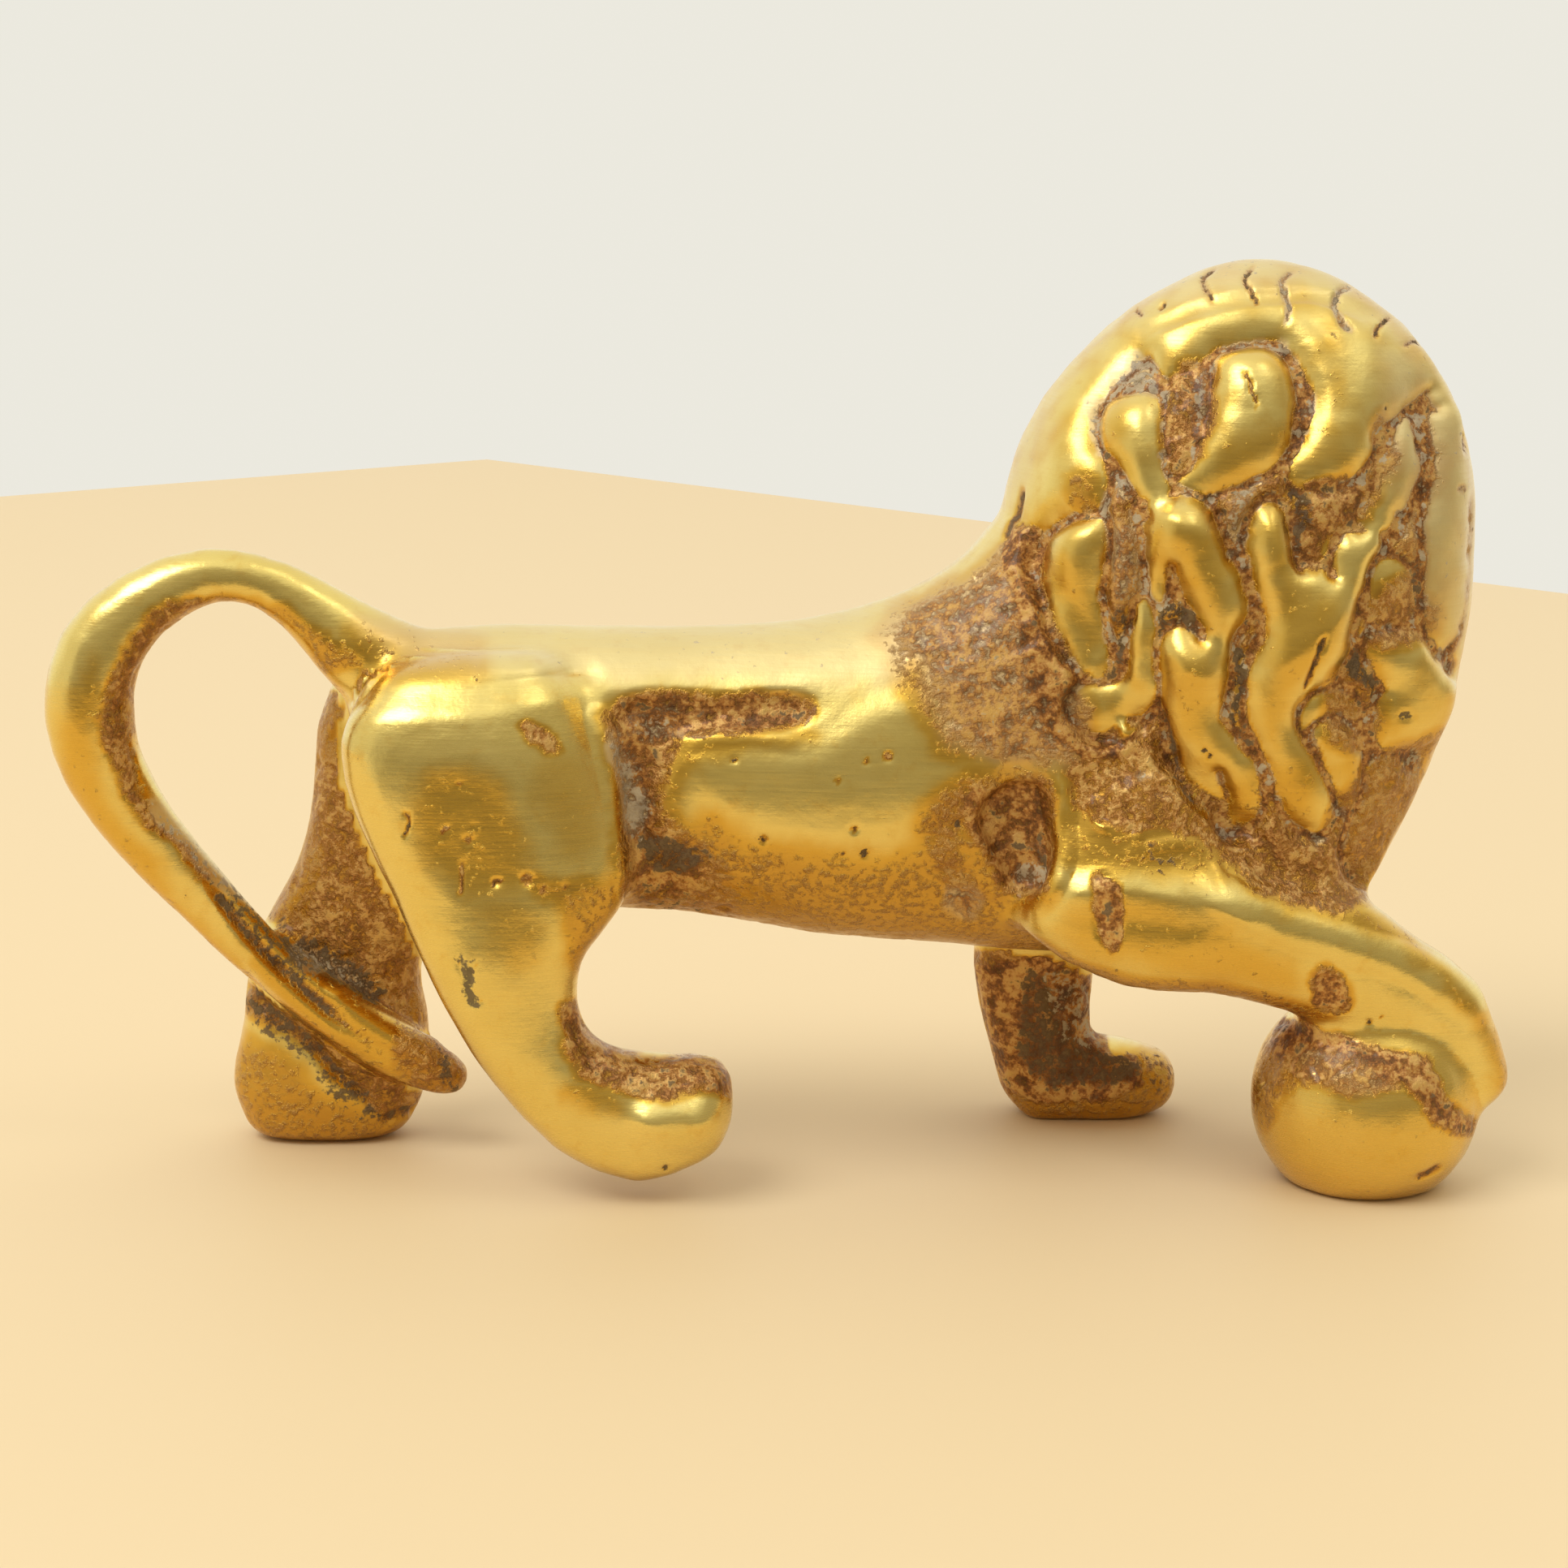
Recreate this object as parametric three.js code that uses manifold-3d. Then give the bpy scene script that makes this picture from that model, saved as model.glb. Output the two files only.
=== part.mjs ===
// A solid cast lion that walks with its right forepaw on a ball and its head turned to its left.
// Millimetres, +Z up, +X from the rump to the head. The lion's right side faces -Y.

import * as THREE from 'three';
import { mergeVertices } from 'three/addons/utils/BufferGeometryUtils.js';
import Module from 'manifold-3d';

const wasm = await Module();
wasm.setup();

// Joints between the sections
const SEAM_GAP = 0.3;

// Torso
const BACK_HEIGHT = 32.5;
const WITHERS_HEIGHT = 37;
const BELLY_HEIGHT = 15.3;
const CHEST_HEIGHT = 14;
const HIP_HALF_WIDTH = 5.4;
const WAIST_HALF_WIDTH = 6.4;
const RIB_HALF_WIDTH = 7.4;
const CHEST_HALF_WIDTH = 8.2;

// Legs
const HIND_TRACK = 6.5;
const LEFT_FORE_TRACK = 8.6;
const RIGHT_FORE_TRACK = 7.8;
const THIGH_HALF_WIDTH = 3.7;
const SHIN_HALF_WIDTH = 2.8;
const PAW_HALF_WIDTH = 3.1;
const LIFTED_PAW_HEIGHT = 1;

// Ball
const BALL_RADIUS = 6.8;
const BALL_FLAT_RADIUS = 4.5;
const BALL_X = 34.7;
const BALL_Y = -5.7;

// Mane
const CROWN_HEIGHT = 54.3;
const MANE_HALF_WIDTH = 10.6;
const MANE_Y = -0.4;
const MANE_SQUARENESS = 2.2;
const GROUND_DEPTH = 0.5;
const LOCK_RISE = 1.1;
const LOCK_FULLNESS = 1.25;
const FACE_LOCK_RISE = 1.4;
const FACE_LOCK_COUNT = 12;
const FACE_LOCK_HALF_WIDTH = 1.7;

// Face
const HEAD_TURN = 82;
const FACE_HALF_WIDTH = 6.8;
const FACE_HALF_HEIGHT = 8.6;
const FACE_HEIGHT = 37.5;
const MUZZLE_LENGTH = 5.4;
const EYE_RADIUS = 1.15;
const EAR_RADIUS = 2.3;

// Tail
const TAIL_RADIUS = 1.6;
const TAIL_BEND_RADIUS = 2.5;

const BALL_HEIGHT = Math.sqrt(BALL_RADIUS ** 2 - BALL_FLAT_RADIUS ** 2);

const radians = THREE.MathUtils.degToRad;
const vec = (x = 0, y = 0, z = 0) => new THREE.Vector3(x, y, z);

// One oval slice, given by the two opposite points of the side view's outline, y and its half width
function slice(x1, z1, x2, z2, y, halfWidth) {
  const middle = vec((x1 + x2) / 2, y, (z1 + z2) / 2);
  return { c: middle, u: vec((x2 - x1) / 2, 0, (z2 - z1) / 2), v: vec(0, halfWidth, 0) };
}

// Slices of a round bar, from rows of x, y, z and radius along its middle line
function barSlices(rows) {
  const at = rows.map(([x, y, z]) => vec(x, y, z));
  return rows.map(([, , , radius], i) => {
    const along = at[Math.min(i + 1, at.length - 1)].clone().sub(at[Math.max(i - 1, 0)]);
    const u = vec(-along.z, 0, along.x).setLength(radius);
    const v = vec().crossVectors(u, along).setLength(radius);
    return { c: at[i], u, v };
  });
}

// The same slices with smooth in-between ones
function smoothed(keys, steps) {
  const curve = (part) => new THREE.CatmullRomCurve3(keys.map((key) => key[part]), false, 'catmullrom', 0.5);
  const curves = { c: curve('c'), u: curve('u'), v: curve('v') };
  const count = (keys.length - 1) * steps;
  return Array.from({ length: count + 1 }, (_, i) => ({
    c: curves.c.getPoint(i / count),
    u: curves.u.getPoint(i / count),
    v: curves.v.getPoint(i / count),
  }));
}

function grown(slices, by) {
  return slices.map(({ c, u, v }) => ({
    c,
    u: u.clone().setLength(u.length() + by),
    v: v.clone().setLength(v.length() + by),
  }));
}

// A point of a slice's rim. A squareness of 2 is an ellipse, and more is boxier.
function rimPoint({ c, u, v }, angle, squareness) {
  const bend = (value) => Math.sign(value) * Math.abs(value) ** (2 / squareness);
  return c.clone().addScaledVector(u, bend(Math.cos(angle))).addScaledVector(v, bend(Math.sin(angle)));
}

// Slices that round off an end, from the end slice outward, in a dome of the given depth
function domeSlices(end, inner, depth, rings) {
  const out = end.c.clone().sub(inner.c).normalize();
  return Array.from({ length: rings }, (_, i) => {
    const turn = ((i + 1) / (rings + 1)) * (Math.PI / 2);
    const scale = Math.cos(turn);
    return {
      c: end.c.clone().addScaledVector(out, depth * Math.sin(turn)),
      u: end.u.clone().multiplyScalar(scale),
      v: end.v.clone().multiplyScalar(scale),
    };
  });
}

// A closed solid through the slices, with a dome at each end. Its rim can be sunk, by degrees and height.
function loft(slices, { sides = 20, squareness = 2.2, domes = [1, 1], domeRings = 2, sink = () => 0 } = {}) {
  const last = slices.length - 1;
  const start = domeSlices(slices[0], slices[1], domes[0], domeRings).reverse();
  const end = domeSlices(slices[last], slices[last - 1], domes[1], domeRings);
  const rings = [...start, ...slices, ...end];
  const tip = (from, inner, depth) => {
    const out = from.c.clone().sub(inner.c).normalize();
    return from.c.clone().addScaledVector(out, depth);
  };
  const points = [];
  for (const ring of rings) {
    for (let k = 0; k < sides; k += 1) {
      const point = rimPoint(ring, (k / sides) * 2 * Math.PI, squareness);
      const inward = ring.c.clone().sub(point).setLength(sink(360 - (k / sides) * 360, point.z));
      points.push(point.add(inward));
    }
  }
  const startTip = points.push(tip(slices[0], slices[1], domes[0])) - 1;
  const endTip = points.push(tip(slices[last], slices[last - 1], domes[1])) - 1;
  const triangles = [];
  for (let k = 0; k < sides; k += 1) {
    const next = (k + 1) % sides;
    triangles.push([startTip, next, k]);
    for (let r = 0; r < rings.length - 1; r += 1) {
      const [a, b] = [r * sides, (r + 1) * sides];
      triangles.push([a + k, a + next, b + next], [a + k, b + next, b + k]);
    }
    const rim = (rings.length - 1) * sides;
    triangles.push([rim + k, rim + next, endTip]);
  }
  return solid(points, triangles);
}

// A manifold solid whose faces point outward
function solid(points, triangles) {
  let volume = 0;
  for (const [a, b, c] of triangles) {
    volume += points[a].dot(vec().crossVectors(points[b], points[c]));
  }
  const outward = volume > 0 ? triangles : triangles.map(([a, b, c]) => [a, c, b]);
  const vertProperties = new Float32Array(points.flatMap((point) => point.toArray()));
  const triVerts = new Uint32Array(outward.flat());
  return new wasm.Manifold(new wasm.Mesh({ numProp: 3, vertProperties, triVerts }));
}

function solidOf(geometry) {
  const bare = geometry.clone().deleteAttribute('normal').deleteAttribute('uv');
  const merged = mergeVertices(bare);
  const position = merged.getAttribute('position');
  const points = Array.from({ length: position.count }, (_, i) => vec().fromBufferAttribute(position, i));
  const index = Array.from(merged.getIndex().array);
  const triangles = [];
  for (let i = 0; i < index.length; i += 3) {
    const triangle = index.slice(i, i + 3);
    if (new Set(triangle).size === 3) triangles.push(triangle);
  }
  return solid(points, triangles);
}

const join = (...solids) => solids.reduce((sum, next) => sum.add(next));
const cut = (from, ...cutters) => cutters.reduce((rest, cutter) => rest.subtract(cutter), from);

// The largest body, without the loose chips that a cut can shed
function mainBody(whole) {
  return whole.decompose().sort((a, b) => b.volume() - a.volume())[0];
}

// The part of a solid above the table
function onTable(whole) {
  const slab = new THREE.BoxGeometry(200, 200, 20).translate(0, 0, -10);
  return whole.subtract(solidOf(slab));
}

// Torso
const torsoSlices = smoothed([
  slice(-24.5, BACK_HEIGHT - 2.5, -23, BELLY_HEIGHT + 7, 0.2, HIP_HALF_WIDTH - 1.4),
  slice(-20, BACK_HEIGHT, -19, BELLY_HEIGHT + 1.5, 0.2, HIP_HALF_WIDTH),
  slice(-12, BACK_HEIGHT + 0.1, -12, BELLY_HEIGHT + 0.8, 0, WAIST_HALF_WIDTH),
  slice(-5, BACK_HEIGHT + 0.1, -5, BELLY_HEIGHT + 0.3, 0, WAIST_HALF_WIDTH),
  slice(1.5, BACK_HEIGHT + 0.5, 2, BELLY_HEIGHT - 1, 0, RIB_HALF_WIDTH),
  slice(7, BACK_HEIGHT + 2, 9, CHEST_HEIGHT - 0.3, 0, RIB_HALF_WIDTH),
  slice(11, WITHERS_HEIGHT, 16, CHEST_HEIGHT - 1, 0, CHEST_HALF_WIDTH - 0.3),
  slice(16, WITHERS_HEIGHT + 5, 23, CHEST_HEIGHT - 0.6, 0.3, CHEST_HALF_WIDTH),
  slice(25, WITHERS_HEIGHT + 5, 29, CHEST_HEIGHT + 0.7, 0.5, CHEST_HALF_WIDTH - 0.6),
  slice(33, WITHERS_HEIGHT - 2, 34, CHEST_HEIGHT + 4, 0.6, CHEST_HALF_WIDTH - 3),
], 2);
const torsoSolid = (grow = 0) => loft(grown(torsoSlices, grow), {
  sides: 24,
  squareness: 2.3,
  domes: [1.6 + grow, 1.4 + grow],
});

// A shallow hollow along the torso's side, from rows of x, z and radius
function sideHollow(rows, side, halfWidth) {
  const sink = 0.55;
  const slices = barSlices(rows.map(([x, z, radius]) => [x, side * (halfWidth + radius * sink), z, radius]));
  return loft(smoothed(slices, 2), { sides: 6, squareness: 2, domes: [1, 1], domeRings: 1 });
}
const flankRows = [
  [-8.4, 18.5, 1.3],
  [-8.8, 22.5, 2.2],
  [-8, 26.6, 2.6],
  [-4, 28.8, 2.1],
  [1.3, 29.3, 1.6],
];
const shoulderRows = [
  [12.8, 25.5, 0.8],
  [12.4, 22.5, 2],
  [13, 18.8, 1.5],
];
const hollows = [-1, 1].flatMap((side) => [
  sideHollow(flankRows, side, WAIST_HALF_WIDTH),
  sideHollow(shoulderRows, side, RIB_HALF_WIDTH),
]);

// Right hind leg, lifted a little off the table
const rightHindSolid = () => loft(smoothed([
  slice(-24.2, 30.2, -12.9, 31.2, -4.4, THIGH_HALF_WIDTH - 0.6),
  slice(-25.8, 26.8, -11.1, 27, -5.2, THIGH_HALF_WIDTH),
  slice(-24.9, 22.5, -9.6, 22.2, -5.5, THIGH_HALF_WIDTH),
  slice(-23, 18.3, -9.2, 18, -5.8, THIGH_HALF_WIDTH - 0.2),
  slice(-21.2, 14.2, -11.8, 14.6, -6.2, SHIN_HALF_WIDTH + 0.5),
  slice(-19.5, 10.7, -12.2, 11.8, -HIND_TRACK, SHIN_HALF_WIDTH),
  slice(-17.3, 7.2, -11.4, 9.8, -HIND_TRACK, SHIN_HALF_WIDTH),
  slice(-13.5, LIFTED_PAW_HEIGHT + 2, -9.8, 8.9, -HIND_TRACK, PAW_HALF_WIDTH - 0.2),
  slice(-8.8, LIFTED_PAW_HEIGHT, -7.8, 8.6, -HIND_TRACK, PAW_HALF_WIDTH),
  slice(-5.2, LIFTED_PAW_HEIGHT + 1.1, -5, 8.5, -HIND_TRACK, PAW_HALF_WIDTH - 0.2),
], 2), { sides: 16, squareness: 2.3, domes: [1.2, 2] });

// Left hind leg, stretched back, with the tail lying across it
const leftHindSolid = () => onTable(loft(smoothed([
  slice(-26, 29.5, -12.5, 30.5, 4.2, THIGH_HALF_WIDTH - 0.6),
  slice(-27.4, 26, -12.5, 26, 5.2, THIGH_HALF_WIDTH),
  slice(-27.8, 21, -13.5, 20.5, 5.6, THIGH_HALF_WIDTH),
  slice(-28.9, 17, -18.5, 14.5, 6, SHIN_HALF_WIDTH + 0.4),
  slice(-31.5, 12, -21.3, 11, HIND_TRACK, SHIN_HALF_WIDTH),
  slice(-32.2, 7, -20.8, 7.5, HIND_TRACK, PAW_HALF_WIDTH),
  slice(-32.9, 3.5, -21, 3.2, HIND_TRACK, PAW_HALF_WIDTH + 0.2),
  slice(-32, 0.9, -22, 0.9, HIND_TRACK, PAW_HALF_WIDTH - 0.2),
], 2), { sides: 16, squareness: 2.5, domes: [1.2, 1.2] }));

// Left foreleg, straight down, with its paw pointing forward
const leftForeSolid = () => onTable(join(
  loft(smoothed([
    slice(13.5, 22, 22.5, 22, 5, THIGH_HALF_WIDTH - 0.6),
    slice(13.2, 16, 22, 16, 7, THIGH_HALF_WIDTH - 0.4),
    slice(13.2, 10, 21, 10, LEFT_FORE_TRACK, SHIN_HALF_WIDTH),
    slice(14.1, 5.6, 20.8, 5.6, LEFT_FORE_TRACK, SHIN_HALF_WIDTH),
    slice(15.2, 1.8, 21.4, 1.8, LEFT_FORE_TRACK, SHIN_HALF_WIDTH),
  ], 2), { sides: 16, squareness: 2.3, domes: [1.5, 2.2] }),
  loft(smoothed([
    slice(17.2, -0.6, 17.2, 4.4, LEFT_FORE_TRACK, SHIN_HALF_WIDTH - 0.2),
    slice(20, -0.7, 20, 5.1, LEFT_FORE_TRACK, PAW_HALF_WIDTH - 0.2),
    slice(23, -0.6, 23, 4.8, LEFT_FORE_TRACK, PAW_HALF_WIDTH),
    slice(24.9, 0.1, 24.9, 4.2, LEFT_FORE_TRACK, PAW_HALF_WIDTH - 0.5),
  ], 2), { sides: 16, squareness: 2.3, domes: [1, 1.5] }),
));

// Right foreleg, reaching forward over the ball
const rightForeSlices = smoothed([
  slice(15.8, 25.5, 24, 29, -5, THIGH_HALF_WIDTH - 0.8),
  slice(14.6, 21.5, 25, 25.2, -5.9, THIGH_HALF_WIDTH - 0.2),
  slice(13.2, 16, 25.6, 22, -6.8, THIGH_HALF_WIDTH),
  slice(19, 12.8, 27, 19.9, -RIGHT_FORE_TRACK, THIGH_HALF_WIDTH),
  slice(24.2, 12.3, 29.6, 18.9, -RIGHT_FORE_TRACK, THIGH_HALF_WIDTH - 0.4),
  slice(29, 11.1, 32.9, 18.2, -RIGHT_FORE_TRACK, SHIN_HALF_WIDTH + 0.3),
  slice(33.2, 9.3, 36.8, 15.4, -RIGHT_FORE_TRACK + 0.4, PAW_HALF_WIDTH),
  slice(36.5, 7.6, 40.7, 12.5, -RIGHT_FORE_TRACK + 0.8, PAW_HALF_WIDTH),
  slice(38.5, 5.3, 42.9, 7.4, -RIGHT_FORE_TRACK + 1.2, PAW_HALF_WIDTH - 0.3),
], 2);
const rightForeSolid = (grow = 0) => loft(grown(rightForeSlices, grow), {
  sides: 16,
  squareness: 2.3,
  domes: [1.5 + grow, 1.8 + grow],
});

// Ball, with a worn flat under it
function ballSolid(grow = 0) {
  const steps = 12;
  const radius = BALL_RADIUS + grow;
  const flatEdge = Math.asin(BALL_FLAT_RADIUS / BALL_RADIUS);
  const profile = [new THREE.Vector2(0, -radius * Math.cos(flatEdge))];
  for (let i = 0; i < steps; i += 1) {
    const turn = flatEdge + (i / steps) * (Math.PI - flatEdge);
    profile.push(new THREE.Vector2(radius * Math.sin(turn), -radius * Math.cos(turn)));
  }
  profile.push(new THREE.Vector2(0, radius));
  const geometry = new THREE.LatheGeometry(profile, 22);
  geometry.rotateX(Math.PI / 2).translate(BALL_X, BALL_Y, BALL_HEIGHT);
  return solidOf(geometry);
}

// Tail, which loops up and back and lies along the inner side of the left hind leg
const tailSide = HIND_TRACK - PAW_HALF_WIDTH - 0.6;
const tailSlices = smoothed(barSlices([
  [-20.5, 0, 29, TAIL_RADIUS + 1.4],
  [-24.2, 0.1, 30.9, TAIL_RADIUS + 1.2],
  [-26.8, 0.1, 33, TAIL_RADIUS + 0.5],
  [-29.5, 0.1, 34.9, TAIL_RADIUS],
  [-33, 0, 35.6, TAIL_RADIUS],
  [-37, 0, 33.9, TAIL_BEND_RADIUS - 0.4],
  [-39.5, 0, 31.1, TAIL_BEND_RADIUS],
  [-40.2, 0.2, 27.7, TAIL_BEND_RADIUS + 0.1],
  [-39.5, 0.6, 24.1, TAIL_BEND_RADIUS - 0.1],
  [-37.2, 1.2, 20.2, TAIL_RADIUS + 0.5],
  [-34.2, 1.9, 16.4, TAIL_RADIUS + 0.2],
  [-31, tailSide - 0.2, 12.6, TAIL_RADIUS],
  [-27, tailSide, 9, TAIL_RADIUS - 0.1],
  [-22.8, tailSide, 6.1, TAIL_RADIUS],
  [-19.6, tailSide, 4.7, TAIL_RADIUS - 0.3],
]), 2);
const tailSolid = (grow = 0) => loft(grown(tailSlices, grow), {
  sides: 12,
  squareness: 2.1,
  domes: [0.5, 1.2 + grow],
});

// Mane: rows of height, rear x, front x and the share of its full half width
const maneRows = [
  [18.2, 26.5, 35.3, 0.76],
  [22, 21.2, 37.3, 0.88],
  [26, 17.2, 39, 0.94],
  [30, 14.6, 40, 0.97],
  [34, 13.2, 40.6, 0.98],
  [38, 12.7, 40.7, 0.98],
  [41, 13.1, 40.5, 0.96],
  [44, 14.1, 39.9, 0.92],
  [47, 15.9, 38.7, 0.82],
  [50, 18.7, 36.4, 0.66],
  [52, 21.3, 34, 0.48],
  [CROWN_HEIGHT - 0.8, 24.2, 31.2, 0.27],
  [CROWN_HEIGHT - 0.2, 26, 29.2, 0.12],
];
const maneSlices = maneRows.map(([z, rear, front, share]) => (
  slice(rear, z, front, z, MANE_Y, share * MANE_HALF_WIDTH)
));

// A point of the mane's surface, by degrees from the front towards the lion's right, and height
function manePoint(degrees, height) {
  const found = maneSlices.findIndex(({ c }) => c.z >= height);
  const above = THREE.MathUtils.clamp(found, 1, maneSlices.length - 1);
  const [low, high] = [maneSlices[above - 1], maneSlices[above]];
  const share = (height - low.c.z) / (high.c.z - low.c.z);
  const between = (part) => low[part].clone().lerp(high[part], share);
  const ring = { c: between('c'), u: between('u'), v: between('v') };
  return rimPoint(ring, -radians(degrees), MANE_SQUARENESS);
}

function maneNormal(degrees, height) {
  const around = manePoint(degrees + 2, height).sub(manePoint(degrees - 2, height));
  const up = manePoint(degrees, height + 0.5).sub(manePoint(degrees, height - 0.5));
  return up.cross(around).normalize();
}

// How deep the ground lies below the mane's plain surface, which is only between the right side's locks
function groundDepth(degrees, height) {
  const { smoothstep } = THREE.MathUtils;
  const around = smoothstep(degrees, 5, 35) * (1 - smoothstep(degrees, 150, 175));
  return GROUND_DEPTH * around * (1 - smoothstep(height, 46.5, 49.5));
}

function groundPoint(degrees, height) {
  const depth = groundDepth(degrees, height);
  return manePoint(degrees, height).addScaledVector(maneNormal(degrees, height), -depth);
}

// A raised lock, from rows of degrees, height and half width along its middle line
function lockSolid(rows, rise) {
  const at = rows.map(([degrees, height]) => groundPoint(degrees, height));
  const slices = rows.map(([degrees, height, halfWidth], i) => {
    const along = at[Math.min(i + 1, at.length - 1)].clone().sub(at[Math.max(i - 1, 0)]);
    const normal = maneNormal(degrees, height);
    return {
      c: at[i],
      u: normal.clone().multiplyScalar(Math.min(rise, 0.85 * halfWidth + 0.2)),
      v: vec().crossVectors(normal, along).setLength(halfWidth),
    };
  });
  return loft(slices, { sides: 8, squareness: 2, domes: [0.6, 0.6], domeRings: 0 });
}

// The same rows with wider locks
const fuller = (rows) => rows.map(([degrees, height, halfWidth]) => [degrees, height, LOCK_FULLNESS * halfWidth]);

// Locks of the right side, from the crest down to the chest
const rightLocks = [
  [[139, 47.4, 1.3], [136, 45.6, 2.2], [129, 43.6, 1.9], [123, 41.6, 0.9]],
  [[123, 50, 0.9], [126, 48.4, 1], [123, 46.6, 0.9], [117, 44.4, 0.7]],
  [[97, 50, 1.5], [98, 48, 2.5], [100, 45.6, 2.8], [105, 43.2, 2.3], [112, 41.4, 1]],
  [[84, 51.4, 1], [77, 49, 2], [76, 46.5, 2.2], [79, 44, 2.3], [83, 41.8, 1.3]],
  [[158, 46.4, 1], [153, 44, 1.8], [151, 41.4, 1.9], [153, 39.4, 1]],
  [[144, 39.8, 1.3], [143, 37.6, 2.2], [142, 35.2, 1.9], [141, 33, 1.2], [141, 31, 0.5]],
  [[123, 36, 0.6], [124, 33.8, 1], [129, 31.4, 1.2], [134, 29.4, 1.4], [143, 28, 1.3], [150, 28.3, 0.8]],
  [[121, 41.6, 0.6], [121, 39.4, 0.8], [117, 37.2, 0.7]],
  [[114, 41, 1.4], [109, 39.1, 2.1], [106, 37, 2.1], [104, 35.2, 1.6], [106, 33.4, 1]],
  [[114, 33.4, 1.2], [115, 31.4, 2], [116, 29, 2.1], [116, 26.6, 2.1], [115, 24.4, 1.7], [115, 22, 1]],
  [[122, 26.4, 1.3], [127, 24.4, 1.1], [129, 22.8, 0.7]],
  [
    [93, 41.2, 1], [92, 38.6, 1.5], [90, 36, 1.7], [90, 33, 1.5], [93, 30, 1.7],
    [93, 27, 1.7], [91, 24.4, 1.6], [88, 21.7, 1],
  ],
  [
    [55, 46, 0.8], [60, 43.4, 1.2], [67, 40.6, 1.4], [74, 37.8, 1.9], [79, 34.8, 1.8], [82, 31.4, 1.3],
  ],
  [[79, 28.6, 1.1], [76, 26.2, 1.2], [74, 24.2, 1.1], [75, 22, 0.7]],
  [[64, 34.4, 1.1], [60, 32, 1.9], [57, 29, 2], [57, 25.8, 1.8], [60, 22.4, 1.1]],
  [[44, 39, 0.9], [43, 36.8, 1.4], [44, 34.4, 1.3], [46, 32.2, 0.7]],
  [[33, 48, 1], [36, 45.4, 1.5], [41, 42.6, 1.6], [48, 39.8, 0.9]],
  [[20, 38, 0.9], [22, 34.5, 1.4], [26, 31, 1.4], [32, 27.5, 1]],
  [[8, 44.5, 1], [5, 41.5, 1.5], [4, 38, 1.4], [8, 35, 0.8]],
  [[2, 33, 1], [4, 29.5, 1.6], [10, 26, 1.3]],
];

// Face
const headAxis = { x: 27.3, y: MANE_Y, reach: MANE_HALF_WIDTH - 0.8 };
const facing = vec(Math.cos(radians(HEAD_TURN)), Math.sin(radians(HEAD_TURN)), 0);
const facePlace = new THREE.Matrix4()
  .makeBasis(vec(0, 0, 1).cross(facing), vec(0, 0, 1), facing)
  .setPosition(headAxis.x + facing.x * headAxis.reach, headAxis.y + facing.y * headAxis.reach, FACE_HEIGHT);

// Face forms are laid out across, up and outward from the middle of the face
const disc = (out, up, halfAcross, halfUp) => ({
  c: vec(0, up, out),
  u: vec(halfAcross, 0, 0),
  v: vec(0, halfUp, 0),
});
const bead = (across, up, out, radius) => new THREE.SphereGeometry(radius, 10, 7).translate(across, up, out);

function faceSolid(grow = 0) {
  const form = (slices, options) => loft(grown(slices, grow), options);
  const domes = [0.3 + grow, 1 + grow];
  const halves = [-1, 1].flatMap((side) => [
    form(smoothed(barSlices([
      [side * 0.9, 3.5, 3, 0.8],
      [side * 3.1, 4.6, 2.7, 1.05],
      [side * 5.3, 3.4, 1.3, 0.8],
    ]), 2), { sides: 8, domes, domeRings: 1 }),
    solidOf(bead(side * 2.9, 1.9, 2.5, EYE_RADIUS + grow)),
    solidOf(bead(side * 3.9, -2.3, 1, 2.9 + grow)),
  ]);
  const whole = join(
    form([
      disc(-5, 0, FACE_HALF_WIDTH, FACE_HALF_HEIGHT),
      disc(-1, 0, FACE_HALF_WIDTH, FACE_HALF_HEIGHT),
      disc(1, 0.2, FACE_HALF_WIDTH - 0.7, FACE_HALF_HEIGHT - 1),
      disc(2.3, 0.6, FACE_HALF_WIDTH - 2.2, FACE_HALF_HEIGHT - 2.6),
    ], { sides: 20, squareness: 2.3, domes: [0.5 + grow, 0.7 + grow], domeRings: 1 }),
    form([
      disc(0, -2.7, 4.4, 3.5),
      disc(MUZZLE_LENGTH - 2.6, -2.8, 4, 3.1),
      disc(MUZZLE_LENGTH - 1, -2.9, 3.4, 2.7),
    ], { sides: 14, squareness: 2.6, domes, domeRings: 1 }),
    form([
      disc(0.5, -6, 2.7, 1.9),
      disc(MUZZLE_LENGTH - 2.2, -6, 2.3, 1.5),
    ], { sides: 12, domes, domeRings: 1 }),
    form(smoothed(barSlices([
      [0, 4.2, 2.4, 1.5],
      [0, 1.2, 3.4, 1.4],
      [0, -0.9, MUZZLE_LENGTH - 0.6, 1.6],
    ]), 1), { sides: 10, domes, domeRings: 1 }),
    form([
      disc(MUZZLE_LENGTH - 1.5, -1, 2, 1.2),
      disc(MUZZLE_LENGTH + 0.1, -1.1, 1.7, 1),
    ], { sides: 12, squareness: 2.8, domes: [0.2 + grow, 0.4 + grow], domeRings: 1 }),
    ...halves,
  );
  return whole.transform(facePlace.elements);
}

function mouthGroove() {
  const rows = [
    [-4, -5.2, MUZZLE_LENGTH - 3.4, 0.4],
    [-2.2, -4.9, MUZZLE_LENGTH - 1.2, 0.5],
    [0, -4.5, MUZZLE_LENGTH - 0.4, 0.5],
    [2.2, -4.9, MUZZLE_LENGTH - 1.2, 0.5],
    [4, -5.2, MUZZLE_LENGTH - 3.4, 0.4],
  ];
  const groove = loft(smoothed(barSlices(rows), 2), { sides: 8, domes: [0.2, 0.2], domeRings: 1 });
  return groove.transform(facePlace.elements);
}

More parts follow.
